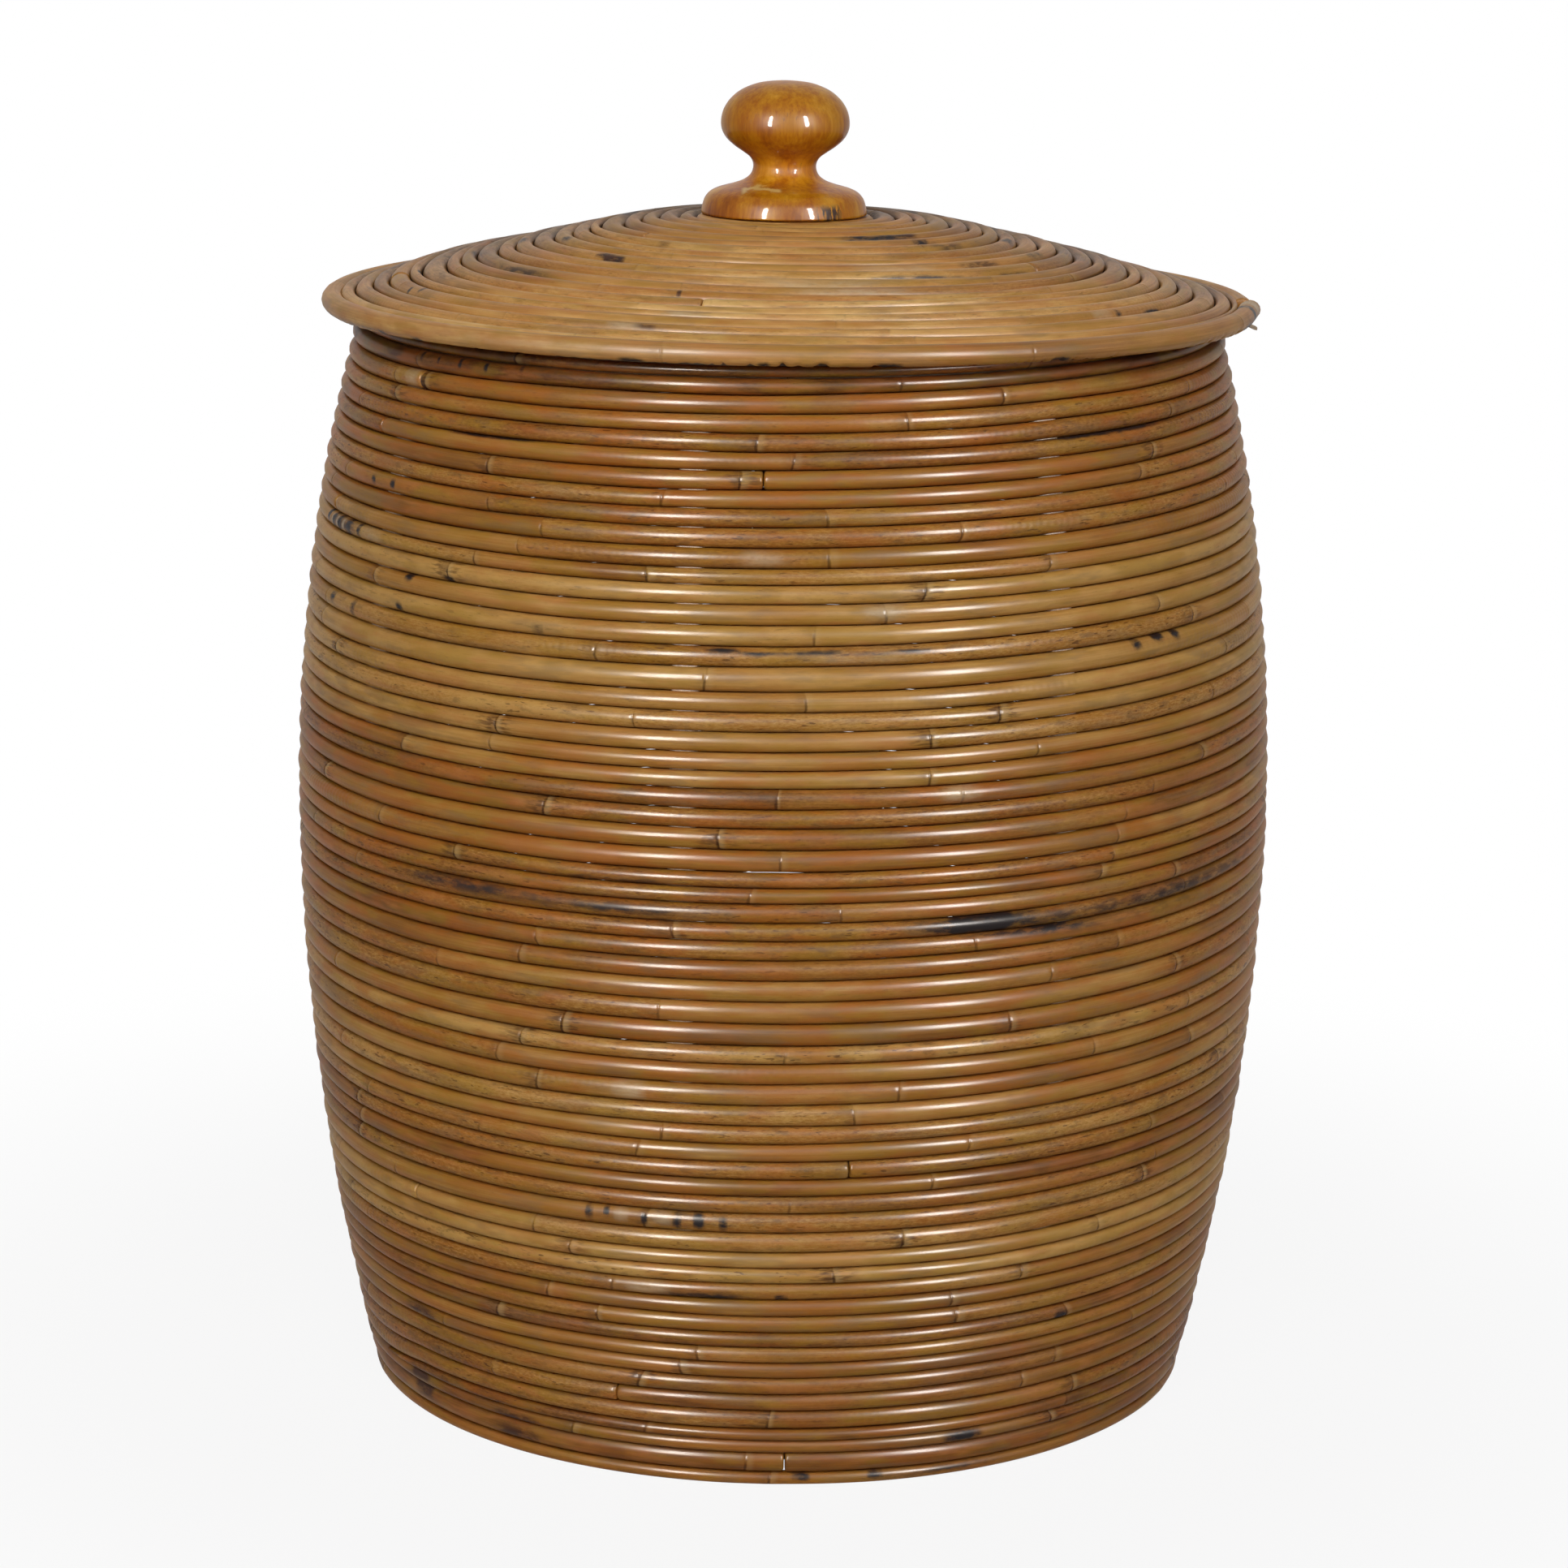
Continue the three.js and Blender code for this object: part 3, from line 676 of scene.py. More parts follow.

# %% [markdown]
# The tones of the rows change from one to the next and slowly up the wall, as they do where a maker works
# through one bundle of cane after another. Single marks are listed, five numbers each: the place
# along the coil in turns, the reach in millimetres, the place across the cane from -1 below to 1 above, the
# spread across it, and the strength.

# %% Tones and marks of the wall
# Turns of the coil with the tone there, then with the warmth there.
# The tone falls to its darkest at turn 56.3, the top row under the lid's rim: painted shade.
WALL_TONES = np.array([
    (-2.6, 0.67), (-1.6, 0.3), (-0.6, 0.3), (0.4, 0.2), (1.4, 0.4), (2.4, 0.5), (3.4, 0.5), (4.4, 0.6),
    (5.4, 0.74), (6.4, 0.24), (7.4, 0.57), (8.4, 0.3), (9.4, 0.6), (10.4, 1.4), (12.4, 0.92), (13.4, 0.88),
    (14.4, 0.58), (15.4, 0.55), (16.4, 0.6), (17.4, 0.78), (19.4, 0.9), (20.4, 0.72), (21.4, 0.55),
    (22.4, 1.1), (23.4, 0.45), (25.4, 0.55), (26.4, 0.45), (27.4, 0.5), (29.4, 0.45), (30.4, 0.5),
    (31.4, 0.5), (32.4, 0.76), (33.4, 0.55), (34.4, 0.66), (35.4, 0.6), (36.4, 0.88), (37.4, 0.7),
    (39.4, 0.93), (40.4, 0.78), (41.4, 0.93), (42.4, 0.62), (43.4, 0.87), (44.4, 0.58), (45.4, 1.2),
    (46.4, 0.7), (47.4, 0.65), (48.4, 0.55), (51.4, 0.5), (52.4, 0.45), (53.4, 0.45), (54.4, 0.62),
    (55.4, 0.58), (56.3, -0.05), (58, 0.3),
])
WALL_WARMTH = np.array([
    (0, 0.6), (12, 0.5), (24, 0.8), (30, 1.2), (36, 0.9), (39, 0.3), (47, 0.3), (49, 0.9), (52, 1.2),
    (57, 1.2),
])
# Turns at which the photograph shows a ring, then the single marks.
SEEN_RINGS = [
    46.33, 49.333, 51.331, 47.451, 33.418, 22.353, 23.368, 23.511, 17.335, 17.499, 44.469, 35.493, 13.29,
    2.365, 0.39, -1.559, 3.543, 2.53, 1.555, 4.305,
]
BURNS = [
    (28.5, 13, 0, 1.5, 1), (28.5, 36, 0, 1.3, 0.62), (28.555, 45, -0.3, 1, 0.4), (27.56, 60, 0.5, 1, 0.35),
    (27.515, 30, 0.9, 0.7, 0.6), (28.6, 40, 0, 1.2, 0.3), (-0.492, 9, 0, 1, 0.9), (6.543, 4, -0.4, 0.8, 1),
    (-2.553, 4, 0.6, 0.6, 0.9), (-2.525, 3.5, 0.5, 0.6, 0.9), (9.411, 18, -0.7, 0.6, 0.75),
    (9.439, 3, -0.7, 0.6, 1), (42.418, 7, 0.6, 0.25, 0.9), (42.431, 10, 0.3, 0.2, 0.9),
    (42.447, 12, 0.5, 0.25, 0.8), (42.464, 9, 0.2, 0.2, 0.9), (42.477, 10, 0.3, 0.25, 0.7),
    (29.33, 34, 0.4, 0.7, 0.6), (29.39, 26, 0, 0.6, 0.6), (41.571, 4, 0.8, 0.5, 0.9),
    (41.56, 3, 0.6, 0.5, 0.8), (41.58, 3, 0.7, 0.5, 0.8), (49.272, 2, 0, 0.5, 1), (49.285, 2, 0, 0.5, 1),
    (-2.49, 20, 0.4, 0.4, 0.6), (46.234, 2.2, 0, 1.6, 1), (46.241, 2.2, 0, 1.6, 1),
    (46.248, 2.2, 0, 1.6, 1), (46.257, 3, 0, 1.6, 1), (46.266, 2, 0, 1.5, 0.8),
    (56.289, 1.2, 0.4, 0.6, 0.9), (56.299, 1, 0.3, 0.5, 0.8), (56.311, 1.2, 0.3, 0.6, 0.9),
    (56.324, 1.2, 0.3, 0.6, 0.9), (56.34, 1.2, 0.4, 0.5, 0.7), (52.555, 44, 1, 0.35, 1),
    (52.33, 26, 1, 0.3, 0.8), (44.3, 3, 0.9, 0.6, 0.9), (43.297, 2.5, -0.6, 0.6, 0.8),
    (45.32, 3, -0.8, 0.5, 0.8), (42.25, 3, 0.3, 0.6, 0.8), (42.268, 2.5, 0, 1.5, 0.6),
    (43.357, 3, -0.4, 0.7, 0.6), (13.375, 2, 0.2, 0.9, 0.8), (13.381, 1.5, 0.5, 0.5, 0.8),
    (13.394, 1.6, 0.2, 0.6, 0.8), (13.405, 2, 0, 1, 0.7), (13.412, 2.4, 0.3, 0.9, 0.9),
    (13.42, 2, 0, 0.9, 0.8),
]
STAINS = [
    (-0.72, 8, 0.6, 0.8, 0.9), (-0.665, 14, -0.3, 1, 0.7), (4.291, 12, 0, 1, 0.7), (13.397, 40, 0, 1, 0.35),
    (28.58, 90, 0, 1.2, 0.5), (31.384, 30, -0.7, 0.6, 0.6), (29.36, 50, 0.2, 0.8, 0.5),
    (-2.5, 40, 0.3, 0.8, 0.4), (16.45, 12, 0, 1, 0.4), (2.4, 20, 0, 1, 0.4), (9.415, 24, -0.4, 0.8, 0.5),
    (46.25, 20, 0, 1.6, 0.7),
]
PALES = [
    (44.469, 9, 0.2, 0.7, 0.6), (35.493, 8, 0.2, 0.7, 0.7), (55.284, 5, 0, 1, 0.7),
    (13.386, 3, 0.3, 0.5, 0.6), (13.4, 4, 0.3, 0.5, 0.6), (9.394, 9, 0.1, 0.7, 0.6),
    (42.46, 20, -0.3, 0.4, 0.35), (47.43, 8, 0, 0.8, 0.5), (20.39, 7, 0, 0.8, 0.7),
    (46.239, 1.2, 0, 1, 0.8), (46.245, 1.2, 0, 1, 0.8), (46.252, 1.4, 0, 1, 0.7), (46.275, 9, 0, 1, 0.4),
]


def mark_strength(marks, turn, radius, up):
    """Sum over the marks: strength x a flat-topped bell along the cane x a bell across it, at most 1."""
    total = np.zeros(np.broadcast_shapes(turn.shape, up.shape))
    for centre, reach, height, spread, strength in marks:
        along = np.exp(-(((turn - centre) * 2 * np.pi * radius / reach) ** 4))
        total += strength * along * np.exp(-(((up - height) / spread) ** 2))
    return np.clip(total, 0, 1)


def wall_look(turn):
    return np.interp(turn, *WALL_TONES.T), np.interp(turn, *WALL_WARMTH.T)


WALL_MARKS = (BURNS, STAINS, PALES)
print(sum(len(kind) for kind in WALL_MARKS), "marks on the wall")

# %% [markdown]
# Before a cane is made, its length is laid out. Rings come every hand's width or two, and each needs a few
# steps close together, as do cut ends and small marks. A plain stretch takes longer steps, which keeps the
# number of faces down. The paint is told where the rings are by a count that rises by one from ring to ring.

# %% Steps and rings along a cane
SIDES = 16
RING_STEPS = np.array([-4, -2, -0.9, -0.35, 0, 0.35, 0.9, 2, 4])
MARK_STEPS = np.array([-1.2, -0.8, 0, 0.8, 1.2])
END_STEPS = np.array([0.15, 0.5, 1.2, 3])


def ring_places(length, first, seed, seen):
    """Rings every 150 to 300 mm along a cane. A seen one is added, and those within 75 mm of it left out."""
    gaps = np.random.default_rng(seed).uniform(150, 300, 60)
    places = first + np.cumsum(gaps) - gaps[0]
    places = places[(places > -400) & (places < length + 400)]
    for place in seen:
        places = np.append(places[np.abs(places - place) > 75], place)
    return np.sort(places)


def cane_places(length, rings, step, details):
    """Where along a cane its points go: even steps, and the finer ones at its rings, ends and marks."""
    places = np.concatenate([np.linspace(0, length, int(length / step) + 2),
                             (rings[:, None] + RING_STEPS).ravel(), END_STEPS, length - END_STEPS, *details])
    places = np.unique(places[(places >= 0) & (places <= length)])
    keep = np.append(np.diff(places) > 0.1, True)
    keep[0] = True
    return places[keep]


def cane_thickness(places, room, rings, gap, depth, seed):
    """Height, half depth and swelling of a cane that lies in the room between the edges of its row.

    The height is the room less an open line of about gap, which closes where a row is pared to a wedge. Half
    the depth is 1.36 mm plus 0.325 of the height. The swelling is 1 plus a low, wide bell at each ring less
    a narrow one.
    """
    open_by = gap * (1 + 0.5 * wander(places, 60, seed + 2)) * np.clip(room / 4, 0, 1)
    height = np.maximum(room - open_by, 0.3)
    deep = (1.36 + 0.325 * height) if depth is None else np.full(len(height), depth / 2)
    to_ring = np.min(np.abs(places[:, None] - rings[None, :]), axis=1)
    swell = 1 + 0.045 * np.exp(-((to_ring / 3.5) ** 2)) - 0.05 * np.exp(-((to_ring / 0.5) ** 2))
    return height, deep, swell


def ring_pattern(places, rings, angle, ripple, seed):
    """The count of rings, their distance apart and how much the cane ripples, at each point.

    The count is slanted by a wavering share of the sine and of one less the cosine, because a ring is never
    quite square to its cane.
    """
    number = np.interp(places, rings, np.arange(len(rings)))
    spacing = np.interp(number, np.arange(len(rings) - 1) + 0.5, np.diff(rings))
    slant = 1.1 * wander(places, 200, seed + 5)[:, None] * np.sin(angle)[None, :]
    slant = slant + 1.2 * wander(places, 170, seed + 8)[:, None] * (1 - np.cos(angle))[None, :]
    count = (number + 40 * seed)[:, None] + slant / spacing[:, None]
    rippled = ripple * np.clip(wander(places, 90, seed + 6) * 2, 0, 1)
    return np.stack([count, spacing[:, None] + 0 * slant, rippled[:, None] + 0 * slant], 2)


metre = cane_places(1000, np.arange(100, 1000, 200), 5, [])
print("A metre of cane with five rings has", len(metre), "steps")

# %% [markdown]
# One function makes every cane of the basket: wall, hoops, base, lid and rim differ only in the line that
# they follow, the rows that they fill and their marks. A cane is round, but its section gives a little: a
# thin row stays a little deeper than it is high. It swells at each ring, wavers in and out by a few
# tenths of a millimetre, and its cut ends are eased.

# %% A cane
def cane(name, node, line, rows, start, end, seed, look, paint, lid=False, step=5.0,
         depth=None, seen=(), marks=((), (), ()), gap=0.22, ripple=0.0, shade_by_turn=None, rough=0.0, flare=0.0):
    """A closed tube along a coil from one turn to another.

    The middle of a ring of points is the line's place at the middle of the row. Each point is that middle
    plus the outward direction times cos(angle) times half the depth, plus the line's heading times
    sin(angle) times half the height, and the section is pushed out so that its outermost point stays on the
    surface of the wall. A function of the turn may give how much painted shade darkens the edges there, else
    they take it in full; rough notches the lower edge, and flare bends the last end outwards.
    """
    fine = np.linspace(start, end, int((end - start) * 120) + 2)
    lower, upper = rows(fine)
    radius = line.at((lower + upper) / 2)[0]
    travel = np.concatenate([[0], np.cumsum(np.diff(fine) * 2 * np.pi * (radius[1:] + radius[:-1]) / 2)])
    length = travel[-1]
    rng = np.random.default_rng(seed)
    seen_here = [np.interp(turn, fine, travel) for turn in seen if start + 0.02 < turn < end - 0.02]
    rings = ring_places(length, rng.uniform(-150, 60), seed + 1, seen_here)
    details = [np.interp(mark[0], fine, travel) + mark[1] * MARK_STEPS
               for kind in marks for mark in kind if start < mark[0] < end]
    places = cane_places(length, rings, step, details)
    turn = np.interp(places, travel, fine)
    lower, upper = rows(turn)

    height, deep, swell = cane_thickness(places, upper - lower, rings, gap, depth, seed)
    waver = 0.28 * wander(places, 110, seed + 3) + 0.14 * wander(places, 37, seed + 4)
    end_ease = np.interp(np.minimum(places, length - places), [0, 0.15, 0.5, 1.2], [0.7, 0.84, 0.95, 1])
    middle_radius, middle_height, heading_r, heading_z = line.at((lower + upper) / 2)
    size = np.hypot(heading_r, heading_z)
    heading_r, heading_z = heading_r / size, heading_z / size
    out_r, out_z = heading_z * line.facing, -heading_r * line.facing
    push = REACH - deep + waver + flare * np.exp((places - length) / 14)

    angle = np.arange(SIDES) * 2 * np.pi / SIDES
    up = np.sin(angle)[None, :]
    side = np.cos(angle)[None, :] * (deep * swell * end_ease)[:, None]
    stack = up * (height / 2 * end_ease)[:, None]
    notch = rough * np.clip(wander(places, 2.2, seed + 7) * wander(places, 60, seed + 9), 0, 1)
    stack = stack + notch[:, None] * np.clip(-up, 0, 1) ** 2
    point_r = (middle_radius + out_r * push)[:, None] + out_r[:, None] * side + heading_r[:, None] * stack
    point_z = (middle_height + out_z * push)[:, None] + out_z[:, None] * side + heading_z[:, None] * stack
    azimuth = (START + 2 * np.pi * turn)[:, None]
    grid = np.stack([point_r * np.cos(azimuth), point_r * np.sin(azimuth), point_z], 2)
    ends = np.stack([grid[0].mean(0), grid[-1].mean(0)])
    points = np.concatenate([grid.reshape(-1, 3), ends])

    full = np.ones_like(side)
    around = turn[:, None]
    tone, warmth = look(turn)
    tone = tone + rng.uniform(-0.12, 0.12)
    # Painted shade: the sides where a cane meets the next row are darkened, fading out over its outer face.
    dark = full if shade_by_turn is None else shade_by_turn(turn)[:, None] * full
    groove_shade = dark * (1 - np.clip((np.cos(angle) + 0.05) / (0.05 + 0.55 * dark), 0, 1))
    attributes = {
        "place": np.stack([(places + 977 * seed)[:, None] * full, side, stack], 2),
        "rings": ring_pattern(places, rings, angle, ripple, seed),
        "tone": np.stack([tone[:, None] * full, warmth[:, None] * full, groove_shade], 2),
        "marks": np.stack([mark_strength(kind, around, radius.mean(), up) * full for kind in marks], 2),
    }
    attributes = {key: np.concatenate([values.reshape(-1, 3), values[0, :1], values[-1, :1]])
                  for key, values in attributes.items()}
    quads, triangles = tube_faces(len(places), SIDES)
    return make_piece(name, points, quads, triangles, paint, lid, node, attributes)


print("A cane has", SIDES, "sides")

# %% [markdown]
# The wall is one coil in twenty canes laid end to end, between three level hoops at the foot and one at the
# mouth. Turns are counted from the start of the coil; the hoops take the turns before and after it.

# %% The canes of the wall
WALL_JOINTS = [
    0.25, 2.38, 5.05, 8.9, 12.3, 16.46, 19.95, 22.9, 26.0, 29.85, 33.05,
    36.9, 39.95, 42.95, 45.0, 47.24, 49.1, 51.43, 52.27, 55.29, 56.75,
]
JOINT_GAP = 0.00018


def level_row(lower, upper):
    """Rows of a hoop, which stay at one height."""
    return lambda turn: (np.full(np.shape(turn), lower), np.full(np.shape(turn), upper))


def wall_cane(name, node, rows, start, end, seed):
    return cane(name, node, wall_line, rows, start + JOINT_GAP, end - JOINT_GAP, seed, wall_look, wall_paint,
                seen=SEEN_RINGS, marks=WALL_MARKS, ripple=1.0 if seed % 3 == 0 else 0.35)


walls = [wall_cane(f"wall_pole_{number:02d}", f"wall_cane_{number:02d}", wall_rows, start, end, 20 + number)
         for number, (start, end) in enumerate(zip(WALL_JOINTS, WALL_JOINTS[1:]), 1)]
hoops = [
    wall_cane("foot_pole_01", "foot_hoop_01", level_row(0.2, 6.4), -2.8125, -1.8125, 51),
    wall_cane("foot_pole_02", "foot_hoop_02", level_row(6.3, 16.6), -1.559, -0.559, 52),
    wall_cane("foot_pole_03", "foot_hoop_03", level_row(16.5, 23.0), -1.1875, -0.1875, 53),
    wall_cane("mouth_pole", "mouth_hoop", mouth_rows, 56.875, 57.875, 54),
]
print("The wall has", sum(len(piece.data.polygons) for piece in walls + hoops), "faces")

# %% [markdown]
# The base is a flat coil that lies on three battens inside the foot. It is seen only with the lid off, so
# it takes longer steps.

# %% The canes of the base
def base_look(turn):
    return 0.35 + 0.1 * wander(turn, 0.8, 71), 0.3 + 0 * turn


BASE_JOINTS = [0.25, 9.6, 15.3, 21.75]
bases = [cane(f"base_pole_{number:02d}", f"base_cane_{number:02d}", base_line, base_rows, start + JOINT_GAP,
              end - JOINT_GAP, 60 + number, base_look, lid_paint, step=6.0)
         for number, (start, end) in enumerate(zip(BASE_JOINTS, BASE_JOINTS[1:]), 1)]
print("The base has", sum(len(piece.data.polygons) for piece in bases), "faces")

# %% [markdown]
# The lid is coiled from the middle outwards. Its marks are listed as the wall's are. Its front is painted
# paler and its back darker and greyer, as light and shade, and painted shade lies in its grooves, little at
# the front and much at the sides and back.

# %% The canes of the lid
LID_BURNS = [
    (8.518, 9, 0.5, 0.7, 0.9), (9.556, 6, 0.6, 0.6, 0.8), (10.572, 12, 0.5, 0.7, 0.5),
    (9.125, 8, 0.2, 0.9, 0.8), (10.06, 12, 0.2, 0.9, 0.6), (15.097, 9, 0, 0.8, 0.6),
    (16.069, 8, 0, 0.8, 0.6), (12.236, 6, 0.3, 0.7, 0.6), (14.193, 8, 0, 0.8, 0.6),
    (19.074, 8, -0.2, 0.8, 0.6), (17.188, 8, -0.8, 0.4, 0.6), (16.279, 26, 0.6, 0.4, 0.6),
    (20.206, 6, -0.9, 0.4, 1), (21.247, 2, 0.5, 0.5, 0.9), (21.257, 2, 0, 0.6, 0.9),
    (7.782, 6, -0.3, 0.7, 0.5), (9.805, 8, -0.4, 0.7, 0.7), (10.776, 8, -0.5, 0.6, 0.6),
    (11.74, 10, -0.5, 0.6, 0.6), (11.654, 8, 0, 0.8, 0.7), (15.777, 9, -0.5, 0.8, 0.8),
    (13.629, 8, 0.3, 0.6, 0.6), (17.782, 8, -0.5, 0.6, 0.6), (21.795, 9, -0.6, 0.5, 0.6),
    (14.579, 10, 1, 0.25, 0.8), (14.505, 12, 1, 0.3, 0.8), (14.531, 12, 1, 0.3, 0.6),
    (14.492, 8, 1, 0.3, 0.5), (21.606, 8, 1, 0.25, 1), (21.582, 2.5, 0.6, 0.5, 0.7),
    (13.311, 2, 0.2, 0.5, 0.5), (13.318, 2, 0.8, 0.4, 0.6), (13.325, 2, 0.6, 0.4, 0.6),
]
LID_STAINS = [
    (13.311, 5, 0.2, 0.5, 0.8), (13.318, 3, 0.9, 0.5, 0.9), (13.324, 4, 0.6, 0.5, 0.9),
    (8.545, 6, 0.4, 0.6, 0.8), (10.336, 4, 0.5, 0.5, 0.6), (17.387, 1.1, 0.4, 0.8, 0.7),
    (22.385, 6, 0.5, 0.5, 0.6), (13.564, 12, 0.6, 0.6, 0.6), (23.222, 12, -0.5, 0.8, 0.5),
    (19.241, 20, 0, 0.8, 0.4),
]
# The third pale mark, at turn 13.503 on the upper side of its cane, is a painted highlight.
LID_PALES = [
    (15.453, 25, 0.6, 0.4, 0.6), (16.468, 22, 0.6, 0.5, 0.7), (13.503, 16, 0.6, 0.3, 0.5),
    (20.396, 7, 0.5, 0.5, 0.6), (22.377, 7, 0.5, 0.5, 0.6), (21.572, 6, 0.5, 0.5, 0.5),
]


def lid_front(turn):
    """1 at the front, 0 at the back and a half at the sides."""
    return 0.5 - 0.5 * np.sin(START + 2 * np.pi * turn)


def lid_tone_and_painted_light(turn):
    """Painted light and shade: paler and warmer at the front, darker and greyer at the back, and a little
    darker at the right.
    """
    tone = -0.1 + 0.85 * lid_front(turn) + 0.12 * wander(turn, 0.43, 81)
    tone = tone + np.interp(turn, [7, 11, 15, 18], [0, -0.18, 0, 0.08]) * lid_front(turn)
    tone = tone - 0.08 * np.clip(np.cos(START + 2 * np.pi * turn), 0, 1)
    return tone, 1.6 * lid_front(turn) - 1.05 + 0.4 * wander(turn, 0.37, 82)


def lid_groove_shade(turn):
    """Painted shade in the grooves: little at the front, much at the sides and the back, with some wavering.
    """
    return np.clip(2 - 1.85 * lid_front(turn) + 0.35 * wander(turn, 0.06, 83), 0.32, 1.6)


LID_JOINTS = [0.25, 9.3, 14.6, 18.4, 21.2, 24.75]
lids = [cane(f"lid_pole_{number:02d}", f"lid_cane_{number:02d}", lid_line, lid_rows, start + JOINT_GAP,
             end - JOINT_GAP, 80 + number, lid_tone_and_painted_light, lid_paint, lid=True, step=3.5,
             marks=(LID_BURNS, LID_STAINS, LID_PALES), gap=0.14, ripple=0.5, shade_by_turn=lid_groove_shade)
        for number, (start, end) in enumerate(zip(LID_JOINTS, LID_JOINTS[1:]), 1)]
print("The lid has", sum(len(piece.data.polygons) for piece in lids), "faces")

# %% [markdown]
# A thicker cane runs once round the lid's edge. It has split at the right, where its two ends meet: the last
# end hangs a little and bends outwards, and the lower edge is worn ragged. It follows a short upright line
# of its own.

# %% The cane round the lid's edge
RIM_BURNS = [
    (0.663, 5, 0.3, 1.4, 0.9), (0.65, 12, -0.7, 0.4, 0.9), (0.672, 8, -0.4, 0.5, 0.8),
    (0.387, 6, -0.9, 0.3, 0.9), (0.43, 3, -0.9, 0.3, 0.8), (0.47, 6, -0.9, 0.3, 0.9),
    (0.53, 5, -0.9, 0.35, 0.9), (0.28, 3, -0.9, 0.4, 0.9), (0.3, 4, -0.9, 0.3, 0.8),
]
RIM_STAINS = [(0.25, 60, -0.8, 0.5, 0.5), (0.45, 30, -0.8, 0.4, 0.3), (0.66, 26, 0, 1, 0.4)]
# The second pale mark, at the rim's split end, is a painted highlight.
RIM_PALES = [(0.36, 70, 0.1, 0.5, 0.3), (0.677, 7, 0.6, 0.7, 0.9)]
RIM_TONES = np.array([
    (0.1, 0.44), (0.3, 0.53), (0.38, 0.57), (0.44, 0.46), (0.48, 0.3), (0.56, 0.27), (0.64, 0.36),
])
RIM_DEPTH = 9.7


def rim_rows(turn):
    """Rows of the rim: one height, but the loose end hangs down by half a millimetre."""
    drop = 0.5 * np.exp((turn - 0.6875) * 80)
    return 5.5 - drop, 14.7 - drop


def rim_look(turn):
    """Paler left of the front and darker right of it, with short warm and grey stretches."""
    tone = np.interp(turn, *RIM_TONES.T) + 0.1 * wander(turn, 0.05, 84)
    return tone, 0.35 + 0.5 * wander(turn, 0.07, 85)


rim_line = Line(np.array([203.6, 203.6]), np.array([480.0, 500.0]), 1)
rim = cane("rim_pole", "lid_rim_cane", rim_line, rim_rows, -0.3123, 0.6868, 91, rim_look, lid_paint,
           lid=True, step=0.8, depth=RIM_DEPTH, marks=(RIM_BURNS, RIM_STAINS, RIM_PALES),
           shade_by_turn=lambda turn: 0.2 + 0 * turn, rough=2.2, flare=3.0)
print("The rim has", len(rim.data.polygons), "faces")

# %% [markdown]
# Ribs, battens, the ring under the lid and a splinter at the rim's split end are split cane: one side flat,
# the other still round. A strip is a closed section carried along a path, with a direction for its width
# and one for its depth at each step.

# %% Strips of split cane
def strip(name, node, path, wide, deep, width, depth, seed, lid=False, square=0.35):
    """A closed strip: path + wide x width/2 x power(cos) + deep x depth/2 x (1 + power(sin)) all round.

    The power keeps the sign and flattens the curve: the smaller it is, the squarer is the section. It is
    small on the flat back, where the sine is negative, and larger on the round face.
    """
    count = len(path)
    along = np.concatenate([[0], np.cumsum(np.linalg.norm(np.diff(path, axis=0), axis=1))])
    angle = np.arange(SIDES) * 2 * np.pi / SIDES
    cosine, sine = np.cos(angle), np.sin(angle)
    across = np.sign(cosine) * np.abs(cosine) ** 0.5 * width / 2
    raised = (1 + np.sign(sine) * np.abs(sine) ** np.where(sine < 0, 0.3, square * 2)) * depth / 2
    ease = np.interp(np.minimum(along, along[-1] - along), [0, 0.4, 1.5], [0.86, 0.96, 1])
    thin = 1 + 0.04 * wander(along, 60, seed)
    side = across[None, :] * (ease * thin)[:, None]
    lift = depth / 2 + (raised - depth / 2)[None, :] * (ease / thin)[:, None]
    grid = path[:, None] + wide[:, None] * side[:, :, None] + deep[:, None] * lift[:, :, None]
    points = np.concatenate([grid.reshape(-1, 3), grid[0].mean(0)[None], grid[-1].mean(0)[None]])
    place = np.stack([(along + 700 * seed)[:, None] + 0 * side, side, lift], 2)
    place = np.concatenate([place.reshape(-1, 3), place[0, :1], place[-1, :1]])
    quads, triangles = tube_faces(count, SIDES)
    return make_piece(name, points, quads, triangles, split_cane, lid, node, {"place": place})


def meridian_strip(name, node, radius, height, azimuth, width, depth, seed, lid, inward):
    """A strip in the upright half-plane at an azimuth, its round face on the inward side of the path."""
    outward = np.array([math.cos(azimuth), math.sin(azimuth), 0])
    round_it = np.array([-math.sin(azimuth), math.cos(azimuth), 0])
    path = radius[:, None] * outward + height[:, None] * np.array([0, 0, 1])
    heading = np.gradient(path, axis=0)
    heading /= np.linalg.norm(heading, axis=1)[:, None]
    wide = np.repeat(round_it[None], len(path), 0)
    deep = np.cross(heading, wide) * inward
    return strip(name, node, path, wide, deep, width, depth, seed, lid)


def rib_azimuth(index, count):
    """Ribs are spread evenly round the axis, a little past the coil's start."""
    return START + math.pi / 16 + index * 2 * math.pi / count


rib_height = np.append(np.arange(15.6, 466, 8), 466.9)
ribs = [meridian_strip(f"wall_strip_{index + 1:02d}", f"wall_rib_{index + 1:02d}",
                       wall_radius(rib_height) - 8.5, rib_height, rib_azimuth(index, 8), 12, 4.8, 100 + index,
                       False, -1)
        for index in range(8)]
lid_rib_radius = np.append(np.arange(35.6, 174, 5), 174.6)
lid_ribs = [meridian_strip(f"lid_strip_{index + 1:02d}", f"lid_rib_{index + 1:02d}", lid_rib_radius,
                           lid_middle(lid_rib_radius) - 4.5, rib_azimuth(index, 4), 12, 5.6, 120 + index,
                           True, 1)
            for index in range(4)]
print(len(ribs) + len(lid_ribs), "ribs")

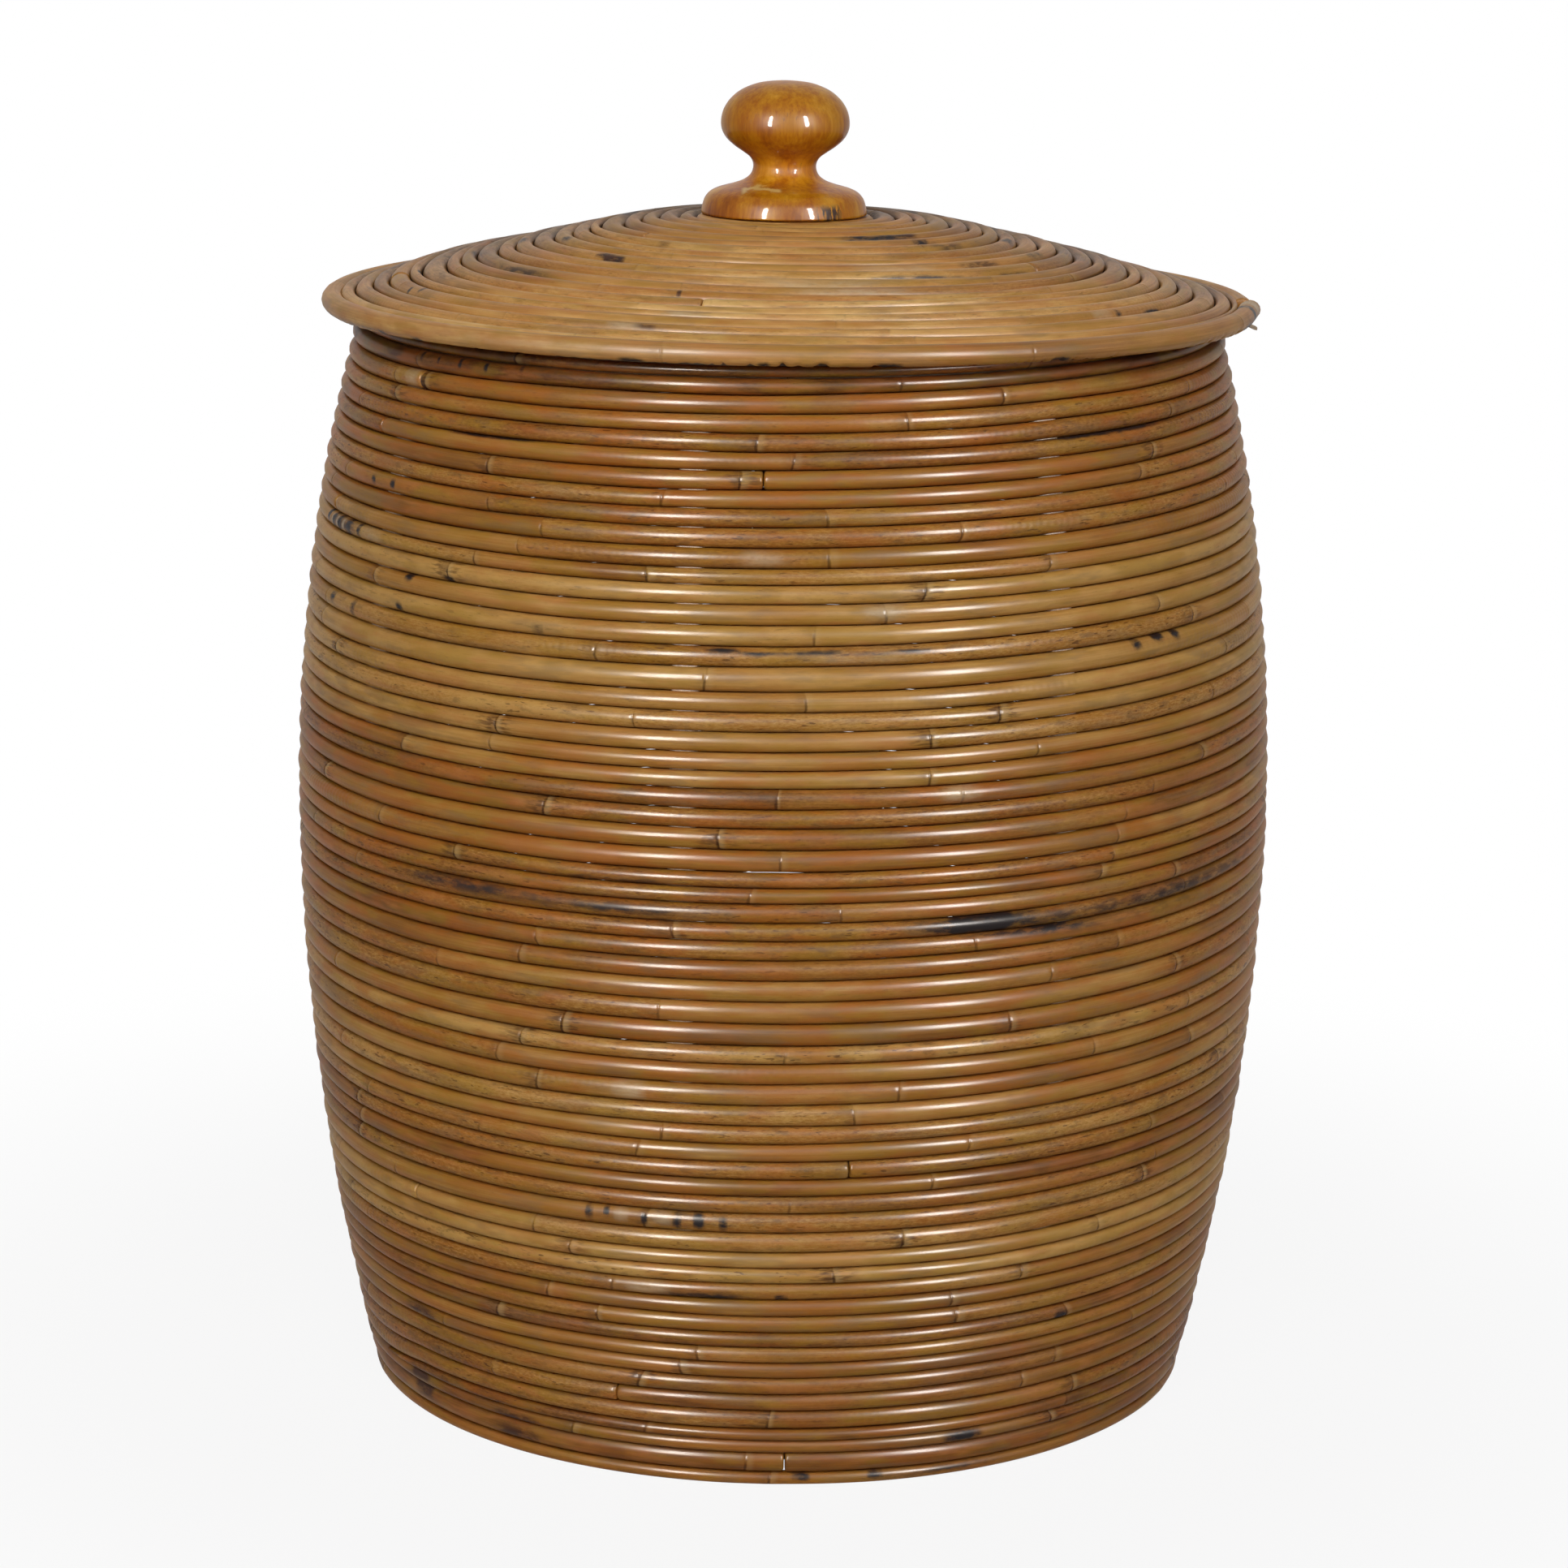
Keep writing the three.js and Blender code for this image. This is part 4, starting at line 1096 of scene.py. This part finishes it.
# %% [markdown]
# Three straight battens carry the base, a ring under the lid keeps it in the mouth, and a splinter sticks
# out at the rim's split end.

# %% Battens, ring and splinter
BATTEN_APART = 100
FOOT_INSIDE = 177.5
RING_STRIP_RADIUS = 175.9


def batten(index):
    """A straight strip under the base, its flat side up, as long as the foot is wide there."""
    offset = (index - 1) * BATTEN_APART
    half = math.sqrt(FOOT_INSIDE ** 2 - (abs(offset) + 8) ** 2)
    across = np.append(np.arange(-half, half, 10), half)
    path = np.stack([across, np.full(len(across), offset), np.full(len(across), 6.8)], 1)
    wide = np.tile([0.0, 1, 0], (len(across), 1))
    deep = np.tile([0.0, 0, -1], (len(across), 1))
    return strip(f"base_strip_{index + 1:02d}", f"base_batten_{index + 1:02d}", path, wide, deep, 16, 5.7,
                 130 + index)


def bent_strip(name, node, azimuth, radius, height, width, depth, seed, square=0.35):
    """A strip bent round the axis: its width stands upright, and its round face looks outwards."""
    outward = np.stack([np.cos(azimuth), np.sin(azimuth), np.zeros(len(azimuth))], 1)
    upright = np.tile([0.0, 0, 1], (len(azimuth), 1))
    path = outward * radius[:, None] + upright * height[:, None]
    return strip(name, node, path, upright, outward, width, depth, seed, lid=True, square=square)


battens = [batten(index) for index in range(3)]
ring_azimuth = START + 7 * math.pi / 8 + np.linspace(0.001, 2 * math.pi - 0.001, 300)
bent = [
    bent_strip("mouth_ring", "lid_locating_ring", ring_azimuth, np.full(300, RING_STRIP_RADIUS),
               np.full(300, 481.3), 18.2, 4.9, 140, square=0.25),
    bent_strip("rim_splinter", "lid_rim_cane", np.radians(np.linspace(-8, -4.5, 8)),
               np.linspace(204.5, 208, 8), np.linspace(486, 483, 8), 1.7, 1, 141),
]
print(len(battens), "battens and", len(bent), "bent strips")

# %% [markdown]
# The knob is turned on a lathe: a broad foot with a rolled edge, a waist and a flattened ball. Its outline
# is a few radii read off, joined by a smooth curve and carried round the axis. Under the lid a disc, a
# washer and a screw hold it.

# %% The knob and what holds it
# The knob's axis stands a little to the left of the basket's, as in the photograph.
KNOB_SHIFT = -2.7


def smooth_line(points, steps):
    """A curve through all the points: between two of them a cubic whose slopes are half the chord across."""
    points = np.asarray(points, float)
    slopes = np.gradient(points, axis=0)
    share = np.linspace(0, 1, steps, endpoint=False)[None, :, None]
    start, end = points[:-1, None], points[1:, None]
    slope_in, slope_out = slopes[:-1, None], slopes[1:, None]
    curve = (start * (1 + 2 * share) * (1 - share) ** 2 + slope_in * share * (1 - share) ** 2
             + end * share ** 2 * (3 - 2 * share) + slope_out * share ** 2 * (share - 1))
    return np.concatenate([curve.reshape(-1, points.shape[1]), points[-1:]])


def turned(name, node, outline, base_height, paint, segments=64):
    """A turned piece: the outline's radius and height carried round the axis.

    An outline that starts on the axis also ends on it. One that doesn't is a ring, and closes on itself.
    """
    outline = np.asarray(outline, float)
    holed = outline[0, 0] > 0
    rows = outline if holed else outline[1:-1]
    angle = np.arange(segments) * 2 * np.pi / segments
    radius, height = rows[:, 0][:, None], rows[:, 1][:, None] + 0 * angle
    grid = np.stack([radius * np.cos(angle) + KNOB_SHIFT, radius * np.sin(angle), height], 2).reshape(-1, 3)
    if holed:
        points = grid
        quads, triangles = corner_order(len(rows) + 1, segments) % len(grid), np.zeros((0, 3), int)
    else:
        points = np.concatenate([grid, [[KNOB_SHIFT, 0, outline[0, 1]], [KNOB_SHIFT, 0, outline[-1, 1]]]])
        quads, triangles = tube_faces(len(rows), segments)
    return make_piece(name, points + [0, 0, base_height], quads, triangles, paint, True, node)


knob_side = smooth_line([
    (36.9, 0.4), (36.5, 3.2), (35.4, 6.6), (33.3, 9.2), (30.4, 10.8), (27.2, 11.8), (23.2, 12.9),
    (18.6, 14.6), (15.4, 17), (14.1, 20), (14.3, 22.8), (15.8, 25.2), (18.8, 27.4), (22.6, 30), (25.8, 32.9),
    (27.8, 36), (28.6, 39.5), (28.2, 43.5), (26.8, 47.2), (24, 51), (19.4, 54.6), (12.4, 57.4), (4.6, 58.5),
    (0, 58.6),
], 5)
knob_bore = [(0, 22.3), (1.6, 22.3), (2.8, 22), (2.8, 0.3), (3.1, 0), (36.6, 0)]
knob_outline = np.concatenate([knob_bore, knob_side])
hub_outline = [
    (3, 0.3), (3.3, 0), (29.6, 0), (31, 0.5), (33.3, 3), (33.8, 4.4), (33.8, 7.2), (33.5, 7.5), (3.3, 7.5),
    (3, 7.2),
]
washer_outline = [(2.8, 0.1), (2.9, 0), (8.6, 0), (9, 0.3), (9, 0.9), (8.6, 1.2), (2.9, 1.2), (2.8, 1.1)]
screw_outline = [
    (0, 0.9), (0.9, 0.9), (1.2, 0.1), (2.4, 0), (3.8, 0.5), (4.7, 1.4), (5, 2.4), (5, 3.3), (4.8, 3.5),
    (2.6, 3.5), (2.5, 3.7), (2.5, 40.6), (1.2, 43), (0, 43.6),
]
turnings = [
    turned("turned_knob", "knob", knob_outline, 528.35, knob_wood, 128),
    turned("knob_disc", "knob_hub", hub_outline, 512, split_cane),
    turned("steel_washer", "knob_washer", washer_outline, 510.4, steel),
    turned("steel_screw", "knob_screw", screw_outline, 506.6, steel, 48),
]
print("The knob and what holds it have", sum(len(piece.data.polygons) for piece in turnings), "faces")

# %% The end
bpy.context.view_layer.update()
